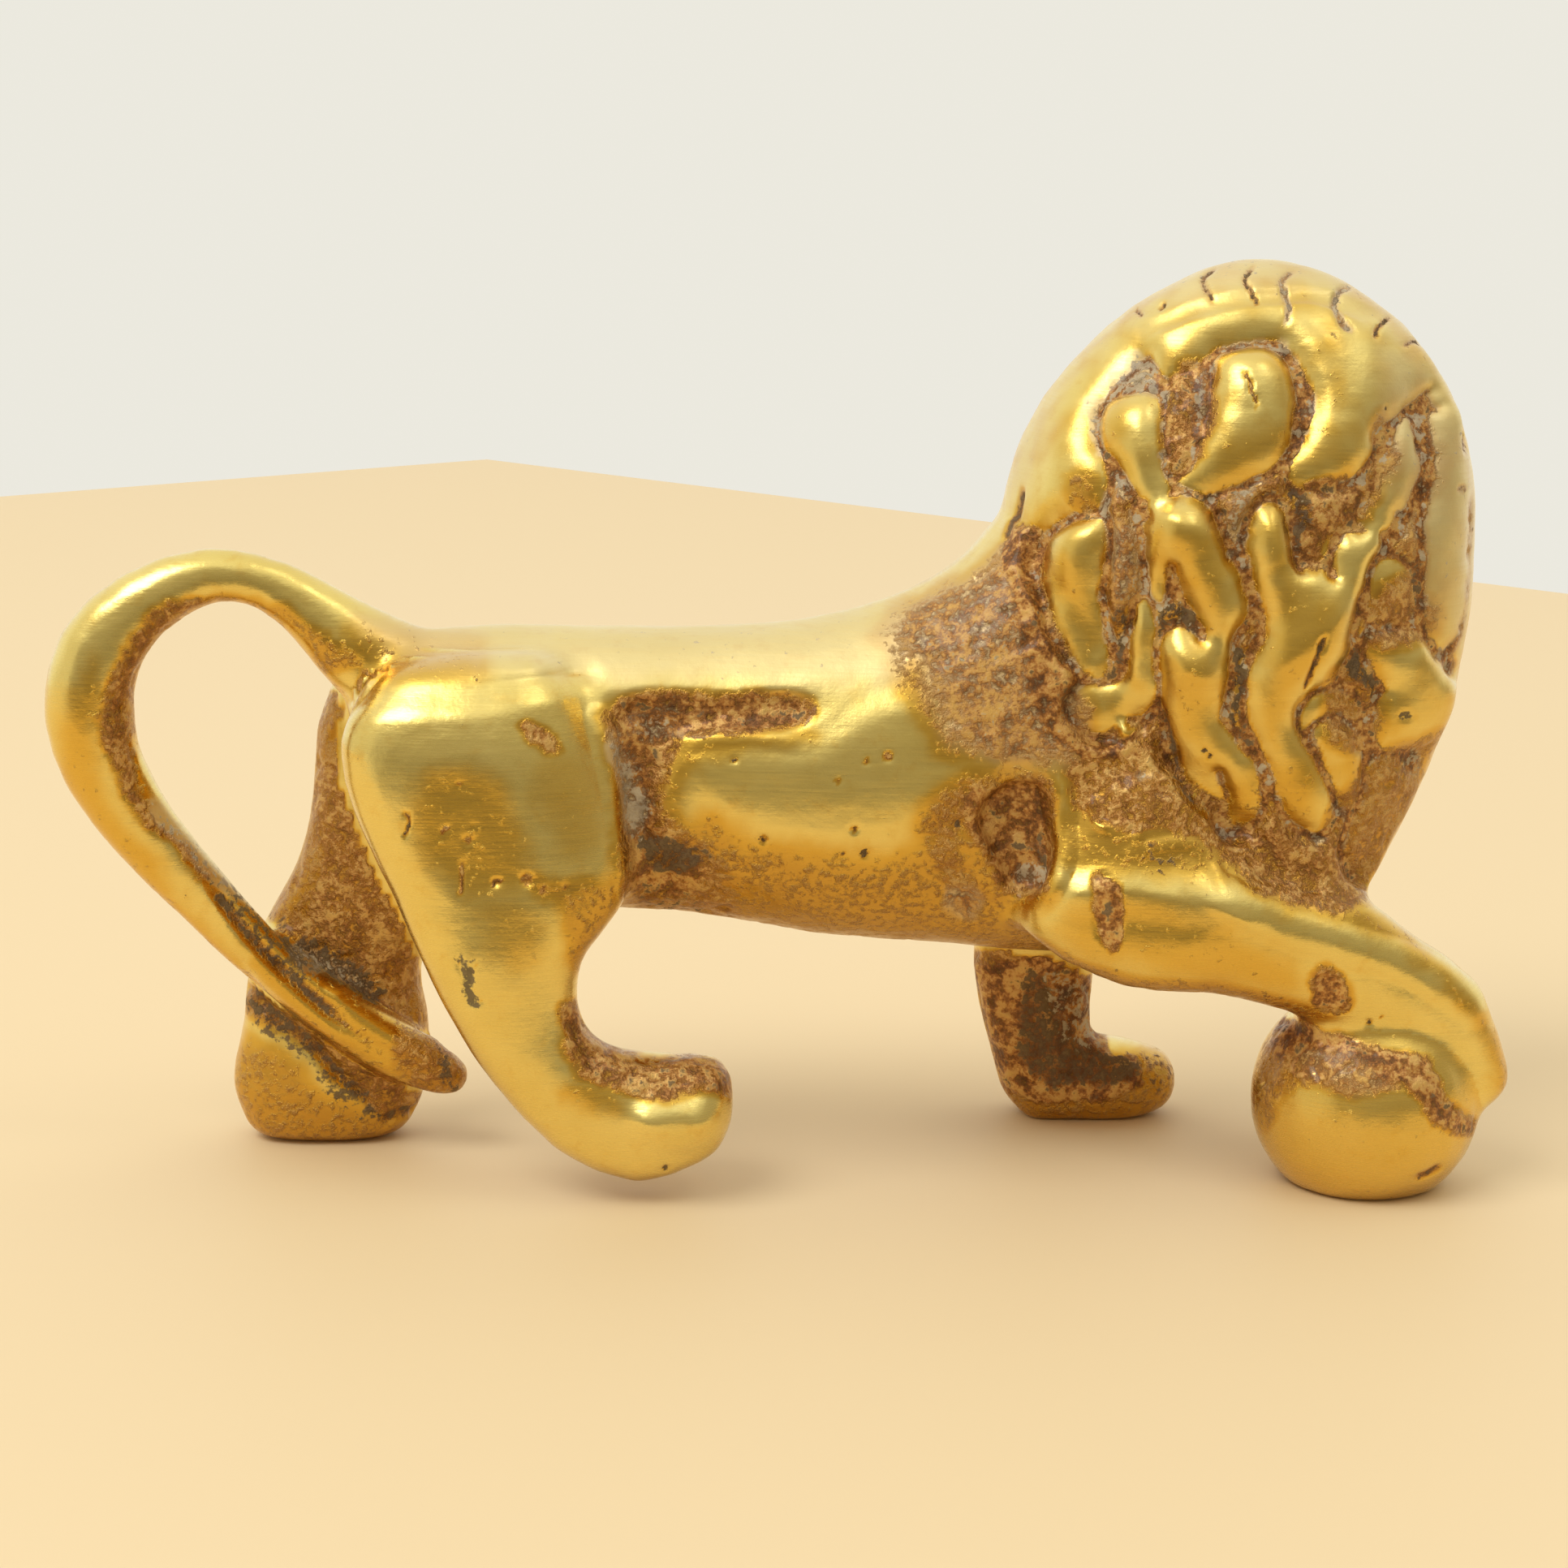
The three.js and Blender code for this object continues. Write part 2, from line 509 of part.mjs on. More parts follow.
// Cupped ears at the upper corners of the face
function earSolids() {
  return [-1, 1].map((side) => {
    const [across, up] = [side * (FACE_HALF_WIDTH - 0.3), FACE_HALF_HEIGHT - 0.6];
    const shell = solidOf(bead(across, up, -1.6, EAR_RADIUS));
    const cup = solidOf(bead(across, up - 0.3, 0.5, EAR_RADIUS - 0.7));
    return shell.subtract(cup).transform(facePlace.elements);
  });
}

// Locks that fan out round the face, on the hidden side of the head
function faceLocks() {
  const spread = { degrees: 38, height: FACE_HALF_HEIGHT + 1.2 };
  const reach = { degrees: 72, height: FACE_HALF_HEIGHT + 7.2 };
  return Array.from({ length: FACE_LOCK_COUNT }, (_, i) => {
    const turn = ((i + 0.5) / FACE_LOCK_COUNT) * 2 * Math.PI;
    const rows = [0, 0.35, 0.7, 1].map((share, step) => {
      const curl = turn + 0.12 * share;
      const degrees = THREE.MathUtils.lerp(spread.degrees, reach.degrees, share);
      const height = THREE.MathUtils.lerp(spread.height, reach.height, share);
      const halfWidth = FACE_LOCK_HALF_WIDTH * [0.7, 1, 0.8, 0.4][step];
      return [-HEAD_TURN + Math.cos(curl) * degrees, FACE_HEIGHT + Math.sin(curl) * height, halfWidth];
    });
    return lockSolid(rows, FACE_LOCK_RISE);
  });
}

// The smooth crest on top of the head, which ends in a ledge above the locks
function crestSolid() {
  const rows = [
    [48.6, 17.3, 37.6, 0.78],
    [50, 18.6, 36.5, 0.74],
    [51.6, 20.7, 34.6, 0.6],
    [CROWN_HEIGHT - 1.3, 23.2, 32.3, 0.4],
  ];
  const slices = rows.map(([z, rear, front, share]) => (
    slice(rear, z, front, z, MANE_Y, share * MANE_HALF_WIDTH)
  ));
  return loft(slices, { sides: 20, squareness: MANE_SQUARENESS, domes: [0.4, 0.4], domeRings: 1 });
}

const maneSolid = () => join(
  loft(maneSlices, {
    sides: 28,
    squareness: MANE_SQUARENESS,
    domes: [1.2, 0.2],
    domeRings: 1,
    sink: groundDepth,
  }),
  crestSolid(),
  ...rightLocks.map((rows) => lockSolid(fuller(rows), LOCK_RISE)),
  ...faceLocks(),
  ...earSolids(),
);

const lion = new THREE.Group();

function addPart(name, whole, colour, roughness) {
  const { vertProperties, triVerts } = mainBody(whole).getMesh();
  const geometry = new THREE.BufferGeometry();
  geometry.setAttribute('position', new THREE.BufferAttribute(vertProperties, 3));
  geometry.setIndex(new THREE.BufferAttribute(triVerts, 1));
  geometry.computeVertexNormals();
  const material = new THREE.MeshStandardMaterial({ color: colour, roughness, metalness: 1 });
  const mesh = new THREE.Mesh(geometry, material);
  mesh.name = name;
  lion.add(mesh);
}

const torsoSeat = torsoSolid(SEAM_GAP);
const tailSeat = tailSolid(SEAM_GAP);
addPart('torso', cut(torsoSolid(), ...hollows), 0xb8913a, 0.3);
addPart('right_hind_leg', cut(rightHindSolid(), torsoSeat, tailSeat), 0xc9a03c, 0.25);
addPart('left_hind_leg', cut(leftHindSolid(), torsoSeat, tailSeat), 0x9a6f35, 0.45);
addPart('left_foreleg', cut(leftForeSolid(), torsoSeat), 0x9a6f35, 0.45);
addPart('right_foreleg', cut(rightForeSolid(), torsoSeat, ballSolid(SEAM_GAP)), 0xc9a03c, 0.25);
addPart('ball', ballSolid(), 0xc39a3c, 0.3);
addPart('tail', cut(tailSolid(), torsoSeat), 0xc9a03c, 0.25);
addPart('mane', cut(maneSolid(), torsoSeat, rightForeSolid(SEAM_GAP), faceSolid(SEAM_GAP)), 0xb58a38, 0.35);
addPart('face', cut(faceSolid(), torsoSeat, mouthGroove()), 0xb8913a, 0.35);

// The origin goes to the middle of the figure's box, on the table
const box = new THREE.Box3().setFromObject(lion);
const middle = box.getCenter(vec());
lion.position.set(-middle.x, -middle.y, -box.min.z);

export default lion;
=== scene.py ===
"""A solid cast brass lion on a pale table: one sculpted skin over the frame's nine sections."""

import math

import bpy
import numpy as np
from mathutils import Matrix, Vector
from mathutils.bvhtree import BVHTree


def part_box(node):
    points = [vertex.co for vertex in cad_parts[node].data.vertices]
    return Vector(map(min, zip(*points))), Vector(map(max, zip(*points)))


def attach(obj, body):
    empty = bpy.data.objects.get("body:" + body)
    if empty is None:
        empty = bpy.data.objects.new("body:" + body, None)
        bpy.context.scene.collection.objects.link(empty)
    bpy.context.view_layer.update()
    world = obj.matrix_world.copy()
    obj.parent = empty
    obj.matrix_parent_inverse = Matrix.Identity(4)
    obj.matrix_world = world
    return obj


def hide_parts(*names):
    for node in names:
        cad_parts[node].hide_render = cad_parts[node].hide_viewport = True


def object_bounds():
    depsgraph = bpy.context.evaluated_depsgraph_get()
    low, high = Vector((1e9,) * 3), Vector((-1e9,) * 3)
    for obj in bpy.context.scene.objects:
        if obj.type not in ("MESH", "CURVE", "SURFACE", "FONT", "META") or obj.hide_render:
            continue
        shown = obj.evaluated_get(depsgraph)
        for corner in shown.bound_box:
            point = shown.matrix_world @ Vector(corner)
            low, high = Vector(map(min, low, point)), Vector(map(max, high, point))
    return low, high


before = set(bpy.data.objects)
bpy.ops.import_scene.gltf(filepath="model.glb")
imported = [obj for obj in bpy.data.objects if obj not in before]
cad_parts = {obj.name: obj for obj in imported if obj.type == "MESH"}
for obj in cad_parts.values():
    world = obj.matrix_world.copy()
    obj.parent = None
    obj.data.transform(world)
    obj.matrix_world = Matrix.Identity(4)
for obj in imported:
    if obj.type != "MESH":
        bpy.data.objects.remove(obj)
cad_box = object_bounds()

# Drawing frame: millimetres, x from rump to head, the lion's right side towards -y.
# The ball ties it to the frame, whose origin is the middle of the figure's box.
BALL_DRAWN = np.array([34.7, -5.7])
ball_low, ball_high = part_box("ball")
SHIFT = np.array([
    500 * (ball_low.x + ball_high.x) - BALL_DRAWN[0],
    500 * (ball_low.y + ball_high.y) - BALL_DRAWN[1],
    0.0,
])
BOX_LOW = np.array(cad_box[0]) * 1000 - SHIFT
BOX_HIGH = np.array(cad_box[1]) * 1000 - SHIFT

# Camera, in the drawing frame
FOCAL = 75.0
SENSOR = 36.0
CAMERA_AZIMUTH = math.radians(6)
CAMERA_RISE = math.radians(11.5)
CAMERA_ROLL = math.radians(0.9)
CAMERA_AIM = np.array([0, -1.7, 23.5])
CAMERA_REACH = 191.67

# Photo: its frame in pixels, and the camera's distance before rounding
PHOTO_SIZE = 1932
PHOTO_REACH = 575 / 3

# Skin: how fine it is, how far the sections swell to close their seams, the share of it that they
# lose again, and how far the skin stays from the box
COARSE_VOXEL = 0.4
VOXEL = 0.2
SEAM_FILL = 0.2
SEAM_RETURN = 0.9
BOX_MARGIN = 0.005

# Mane: the middle of its plain form, its half width, how square it is, the points that close it
# below and above, and how far the section draws in and drops beneath the locks
MANE_X = 27.0
MANE_Y = -0.4
MANE_HALF_WIDTH = 10.6
MANE_SQUARENESS = 2.2
MANE_FOOT = 1.2
MANE_TIP = (27.6, MANE_Y, 54.25)
MANE_DRAWN_IN = 0.2
CREST_DROP = 3


# Camera rays, and the sketch plane on which the marks of the side view are drawn
def camera_axes():
    """Unit vectors ahead, right and up of the camera."""
    az, rise, roll = CAMERA_AZIMUTH, CAMERA_RISE, CAMERA_ROLL
    ahead = np.array([math.sin(az) * math.cos(rise), math.cos(az) * math.cos(rise), -math.sin(rise)])
    right = np.array([math.cos(az), -math.sin(az), 0])
    up = np.cross(right, ahead)
    return ahead, math.cos(roll) * right + math.sin(roll) * up, math.cos(roll) * up - math.sin(roll) * right


AHEAD, RIGHT, UP = camera_axes()
CAMERA_PLACE = CAMERA_AIM - CAMERA_REACH * AHEAD
SKETCH_Y = -8.0


def to_sketch(points):
    """x and z where the camera's line to each point crosses the sketch plane, and the depth."""
    ray = points - CAMERA_PLACE
    share = (SKETCH_Y - CAMERA_PLACE[1]) / ray[:, 1]
    on_plane = CAMERA_PLACE + ray * share[:, None]
    return on_plane[:, [0, 2]], ray @ AHEAD


def from_photo(points):
    """Points chosen in the photo, in pixels, as x and z on the sketch plane to a tenth of a millimetre."""
    across, down = (np.array(points, float) - PHOTO_SIZE / 2).T * SENSOR / FOCAL / PHOTO_SIZE
    ray = AHEAD + across[:, None] * RIGHT - down[:, None] * UP
    eye = CAMERA_AIM - PHOTO_REACH * AHEAD
    reach = (SKETCH_Y - eye[1]) / ray[:, 1]
    return np.round((eye + reach[:, None] * ray)[:, [0, 2]], 1)


# Plain array geometry
OUTLINE_REACH = 3.0


def catmull(points, steps, closed=False):
    """A smooth curve through the points, with that many steps between two of them."""
    points = np.asarray(points, float)
    count = len(points)
    if closed:
        index = np.arange(count)
        p0, p1, p2, p3 = (points[(index + k) % count] for k in (-1, 0, 1, 2))
    else:
        padded = np.vstack([2 * points[0] - points[1], points, 2 * points[-1] - points[-2]])
        p0, p1, p2, p3 = padded[:-3], padded[1:-2], padded[2:-1], padded[3:]
    t = (np.arange(steps) / steps)[None, :, None]
    p0, p1, p2, p3 = (p[:, None, :] for p in (p0, p1, p2, p3))
    curve = 0.5 * (
        2 * p1 + (p2 - p0) * t + (2 * p0 - 5 * p1 + 4 * p2 - p3) * t**2 + (3 * p1 - p0 - 3 * p2 + p3) * t**3
    )
    curve = curve.reshape(-1, points.shape[1])
    return curve if closed else np.vstack([curve, points[-1]])


def line_distance(at, line, closed=False):
    """Distance from each 2-D point to a polyline, and how far along it the nearest point is, from 0 to 1."""
    ends = np.vstack([line[1:], line[:1]]) if closed else line[1:]
    starts = line if closed else line[:-1]
    lengths = np.linalg.norm(ends - starts, axis=1)
    before = np.concatenate([[0], np.cumsum(lengths)])
    best = np.full(len(at), 1e9)
    along = np.zeros(len(at))
    for k, (a, b) in enumerate(zip(starts, ends)):
        edge = b - a
        t = np.clip(((at - a) @ edge) / (edge @ edge + 1e-12), 0, 1)
        reach = np.linalg.norm(at - a - t[:, None] * edge, axis=1)
        closer = reach < best
        best[closer] = reach[closer]
        along[closer] = (before[k] + t[closer] * lengths[k]) / before[-1]
    return best, along


def inside(at, ring):
    """Whether each 2-D point lies inside a closed ring."""
    hit = np.zeros(len(at), bool)
    for a, b in zip(ring, np.roll(ring, -1, axis=0)):
        crosses = (a[1] > at[:, 1]) != (b[1] > at[:, 1])
        x = (b[0] - a[0]) * (at[:, 1] - a[1]) / (b[1] - a[1] + 1e-12) + a[0]
        hit ^= crosses & (at[:, 0] < x)
    return hit


def depth_inside(at, outline):
    """Distance inside a smooth closed outline, negative outside it, for points near it."""
    ring = catmull(outline, 4, closed=True)
    low, high = ring.min(0) - OUTLINE_REACH, ring.max(0) + OUTLINE_REACH
    near = ((at > low) & (at < high)).all(1)
    depth = np.full(len(at), -OUTLINE_REACH)
    distance, _ = line_distance(at[near], ring, closed=True)
    depth[near] = np.where(inside(at[near], ring), distance, -distance)
    return depth


def step(value, low, high):
    """A smooth rise from 0 at low to 1 at high, or a fall where low is the larger."""
    t = np.clip((value - low) / (high - low), 0, 1)
    return t * t * (3 - 2 * t)


def noise(points, size, seed, octaves=1):
    """Smooth gradient noise of about -1 to 1, with features of that size in millimetres."""
    total = np.zeros(len(points))
    for octave in range(octaves):
        rng = np.random.RandomState(seed + octave)
        table = rng.permutation(256)
        slopes = rng.normal(size=(256, 3))
        slopes /= np.linalg.norm(slopes, axis=1)[:, None]
        q = points / size * 2**octave
        cell = np.floor(q).astype(int)
        f = q - cell
        w = f**3 * (f * (6 * f - 15) + 10)
        value = np.zeros(len(points))
        for corner in np.ndindex(2, 2, 2):
            c = (cell + corner) & 255
            which = table[(table[(table[c[:, 0]] + c[:, 1]) & 255] + c[:, 2]) & 255]
            weight = np.prod(np.where(corner, w, 1 - w), axis=1)
            value += weight * np.einsum("ij,ij->i", slopes[which], f - corner)
        total += value * 1.6 / 2**octave
    return total


def point_normals(points, faces):
    """Normals of the points of triangles or quads, weighted by the faces' areas."""
    corners = points[faces]
    if faces.shape[1] == 3:
        across = np.cross(corners[:, 1] - corners[:, 0], corners[:, 2] - corners[:, 0])
    else:
        across = np.cross(corners[:, 2] - corners[:, 0], corners[:, 3] - corners[:, 1])
    normals = np.zeros_like(points)
    for axis in range(3):
        weights = np.repeat(across[:, axis], faces.shape[1])
        normals[:, axis] = np.bincount(faces.ravel(), weights, len(points))
    return normals / (np.linalg.norm(normals, axis=1)[:, None] + 1e-12)


class Neighbours:
    """The skin's edges, for averaging values over it."""

    def __init__(self, faces, count):
        pairs = np.vstack([faces[:, [k, (k + 1) % faces.shape[1]]] for k in range(faces.shape[1])])
        pairs = np.unique(np.sort(pairs, axis=1), axis=0)
        self.a = np.concatenate([pairs[:, 0], pairs[:, 1]])
        self.b = np.concatenate([pairs[:, 1], pairs[:, 0]])
        self.count = count
        self.degree = np.bincount(self.a, minlength=count)

    def mean(self, values):
        if values.ndim == 1:
            return np.bincount(self.a, values[self.b], self.count) / self.degree
        return np.stack([self.mean(values[:, k]) for k in range(values.shape[1])], axis=1)

    def smooth(self, values, turns, strength=0.5, keep_size=False):
        for _ in range(turns):
            values = values + strength * (self.mean(values) - values)
            if keep_size:
                values = values - (strength + 0.03) * (self.mean(values) - values)
        return values


def welded(node):
    """The points and triangles of one section of the frame, in the drawing frame."""
    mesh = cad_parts[node].data
    mesh.calc_loop_triangles()
    points = np.zeros(len(mesh.vertices) * 3)
    mesh.vertices.foreach_get("co", points)
    triangles = np.zeros(len(mesh.loop_triangles) * 3, int)
    mesh.loop_triangles.foreach_get("vertices", triangles)
    points = points.reshape(-1, 3) * 1000 - SHIFT
    _, first, back = np.unique(np.round(points, 3), axis=0, return_index=True, return_inverse=True)
    triangles = back.reshape(-1)[triangles.reshape(-1, 3)]
    whole = (triangles != np.roll(triangles, -1, axis=1)).all(1)
    return points[first], triangles[whole]


def together(solids):
    """The points and triangles of several solids in one list each."""
    starts = np.cumsum([0] + [len(points) for points, _ in solids])
    triangles = [triangles + start for (_, triangles), start in zip(solids, starts)]
    return np.vstack([points for points, _ in solids]).tolist(), np.vstack(triangles).tolist()


# Mane: rows of height, rear x, front x and the share of its full half width
MANE_ROWS = np.array([
    [18.2, 26.5, 35.3, 0.76],
    [22, 21.2, 37.3, 0.88],
    [26, 17.2, 39, 0.94],
    [30, 14.6, 40, 0.97],
    [34, 13.2, 40.6, 0.98],
    [38, 12.7, 40.7, 0.98],
    [41, 13.1, 40.5, 0.96],
    [44, 14.1, 39.9, 0.92],
    [47, 15.9, 38.7, 0.82],
    [50, 18.7, 36.4, 0.66],
    [52, 21.3, 34, 0.48],
    [53.5, 24.2, 31.2, 0.27],
    [54.1, 26, 29.2, 0.12],
])


def mane_shell(points):
    """How far a point lies from the mane's middle, where 1 is on its plain surface."""
    z = np.clip(points[:, 2], MANE_ROWS[0, 0], MANE_ROWS[-1, 0])
    fine = catmull(MANE_ROWS, 6)
    rear, front, share = (np.interp(z, fine[:, 0], fine[:, k]) for k in (1, 2, 3))
    across = np.abs((points[:, 0] - (rear + front) / 2) / ((front - rear) / 2))
    out = np.abs((points[:, 1] - MANE_Y) / (share * MANE_HALF_WIDTH))
    return (across**MANE_SQUARENESS + out**MANE_SQUARENESS) ** (1 / MANE_SQUARENESS)


def mane_core():
    """The plain mane under its locks, as a closed fine solid."""
    rows = catmull(MANE_ROWS, 5)
    sides = 96
    turn = np.arange(sides) / sides * 2 * math.pi
    along, out = (np.sign(v) * np.abs(v) ** (2 / MANE_SQUARENESS) for v in (np.cos(turn), np.sin(turn)))
    rings = [
        np.stack([
            (rear + front) / 2 + (front - rear) / 2 * along,
            MANE_Y + share * MANE_HALF_WIDTH * out,
            np.full(sides, z),
        ], axis=1)
        for z, rear, front, share in rows
    ]
    foot = ((rows[0, 1] + rows[0, 2]) / 2, MANE_Y, rows[0, 0] - MANE_FOOT)
    points = np.vstack([*rings, [foot, MANE_TIP]])
    bottom, top = len(points) - 2, len(points) - 1
    k = np.arange(sides)
    nxt = (k + 1) % sides
    triangles = [np.stack([np.full(sides, bottom), nxt, k], axis=1)]
    for r in range(len(rings) - 1):
        a, b = r * sides, (r + 1) * sides
        triangles += [np.stack([a + k, a + nxt, b + nxt], axis=1), np.stack([a + k, b + nxt, b + k], axis=1)]
    last = (len(rings) - 1) * sides
    triangles.append(np.stack([last + k, last + nxt, np.full(sides, top)], axis=1))
    return points, np.vstack(triangles)


def remesh(solids, voxel):
    """One even skin of quads round overlapping closed solids."""
    points, triangles = together(solids)
    mesh = bpy.data.meshes.new("blank")
    mesh.from_pydata(points, [], triangles)
    blank = bpy.data.objects.new("blank", mesh)
    bpy.context.scene.collection.objects.link(blank)
    modifier = blank.modifiers.new("skin", "REMESH")
    modifier.mode = "VOXEL"
    modifier.voxel_size = voxel
    modifier.adaptivity = 0
    whole = blank.evaluated_get(bpy.context.evaluated_depsgraph_get()).to_mesh()
    co = np.zeros(len(whole.vertices) * 3)
    whole.vertices.foreach_get("co", co)
    sizes = np.zeros(len(whole.polygons), int)
    whole.polygons.foreach_get("loop_total", sizes)
    corners = np.zeros(len(whole.loops), int)
    whole.loops.foreach_get("vertex_index", corners)
    assert (sizes == 4).all(), "the skin has faces other than quads"
    bpy.data.objects.remove(blank)
    bpy.data.meshes.remove(mesh)
    return co.reshape(-1, 3), corners.reshape(-1, 4)


def drawn_in(points):
    """The mane's points, those of the camera's side drawn in under the locks and lower at the crest."""
    inward = step(points[:, 1], 1.5, -0.5)
    middle = np.stack([np.full(len(points), MANE_X), np.full(len(points), MANE_Y), points[:, 2]], axis=1)
    points = points + inward[:, None] * MANE_DRAWN_IN * (middle - points)
    points[:, 2] -= inward * step(points[:, 2], 40, 54) * CREST_DROP
    return points


solids = {name: welded(name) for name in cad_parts}
filled = []
for name, (points, triangles) in [*solids.items(), ("core", mane_core())]:
    normals = point_normals(points, triangles)
    if name == "mane":
        points = drawn_in(points)
    filled.append((points + SEAM_FILL * normals, triangles))

# A coarse skin first, on which facets and seams melt into soft cast forms, less where they are thin
rough, rough_quads = remesh(filled, COARSE_VOXEL)
net = Neighbours(rough_quads, len(rough))
rough_x, _, rough_z = rough.T
thin = np.maximum.reduce([
    step(mane_shell(rough), 1.25, 1.1) * step(rough_z, 20, 24),  # mane
    step(rough_x, -22, -26) * step(rough_z, 4, 8),  # tail
    step(rough_z, 11, 8),  # feet
    step(rough_x, 33, 36),  # muzzle and raised paw
])
soft = net.smooth(net.smooth(rough, 34, keep_size=True), 10)
firm = net.smooth(net.smooth(rough, 8, keep_size=True), 3)
face_tree = BVHTree.FromPolygons(*(part.tolist() for part in solids["face"]))
face_gap = np.array([face_tree.find_nearest(p)[3] for p in rough])
face_share = net.smooth(step(face_gap, 0.9, 0.5), 2)[:, None]
thin = net.smooth(thin, 4)[:, None]
rough = (soft * (1 - thin) + firm * thin) * (1 - face_share) + net.smooth(rough, 2, 0.4) * face_share
rough = rough - SEAM_FILL * SEAM_RETURN * point_normals(rough, rough_quads)
skin, quads = remesh([(rough, np.vstack([rough_quads[:, [0, 1, 2]], rough_quads[:, [0, 2, 3]]]))], VOXEL)
net = Neighbours(quads, len(skin))
skin = net.smooth(skin, 6)
flow = point_normals(net.smooth(skin, 12), quads)

# Which section each face of the skin belongs to
names = list(solids)
starts = np.cumsum([0] + [len(triangles) for _, triangles in solids.values()])
tree = BVHTree.FromPolygons(*together(solids.values()))
nearest = np.array([tree.find_nearest(middle)[2] for middle in skin[quads].mean(1)])
section = np.searchsorted(starts, nearest, side="right") - 1

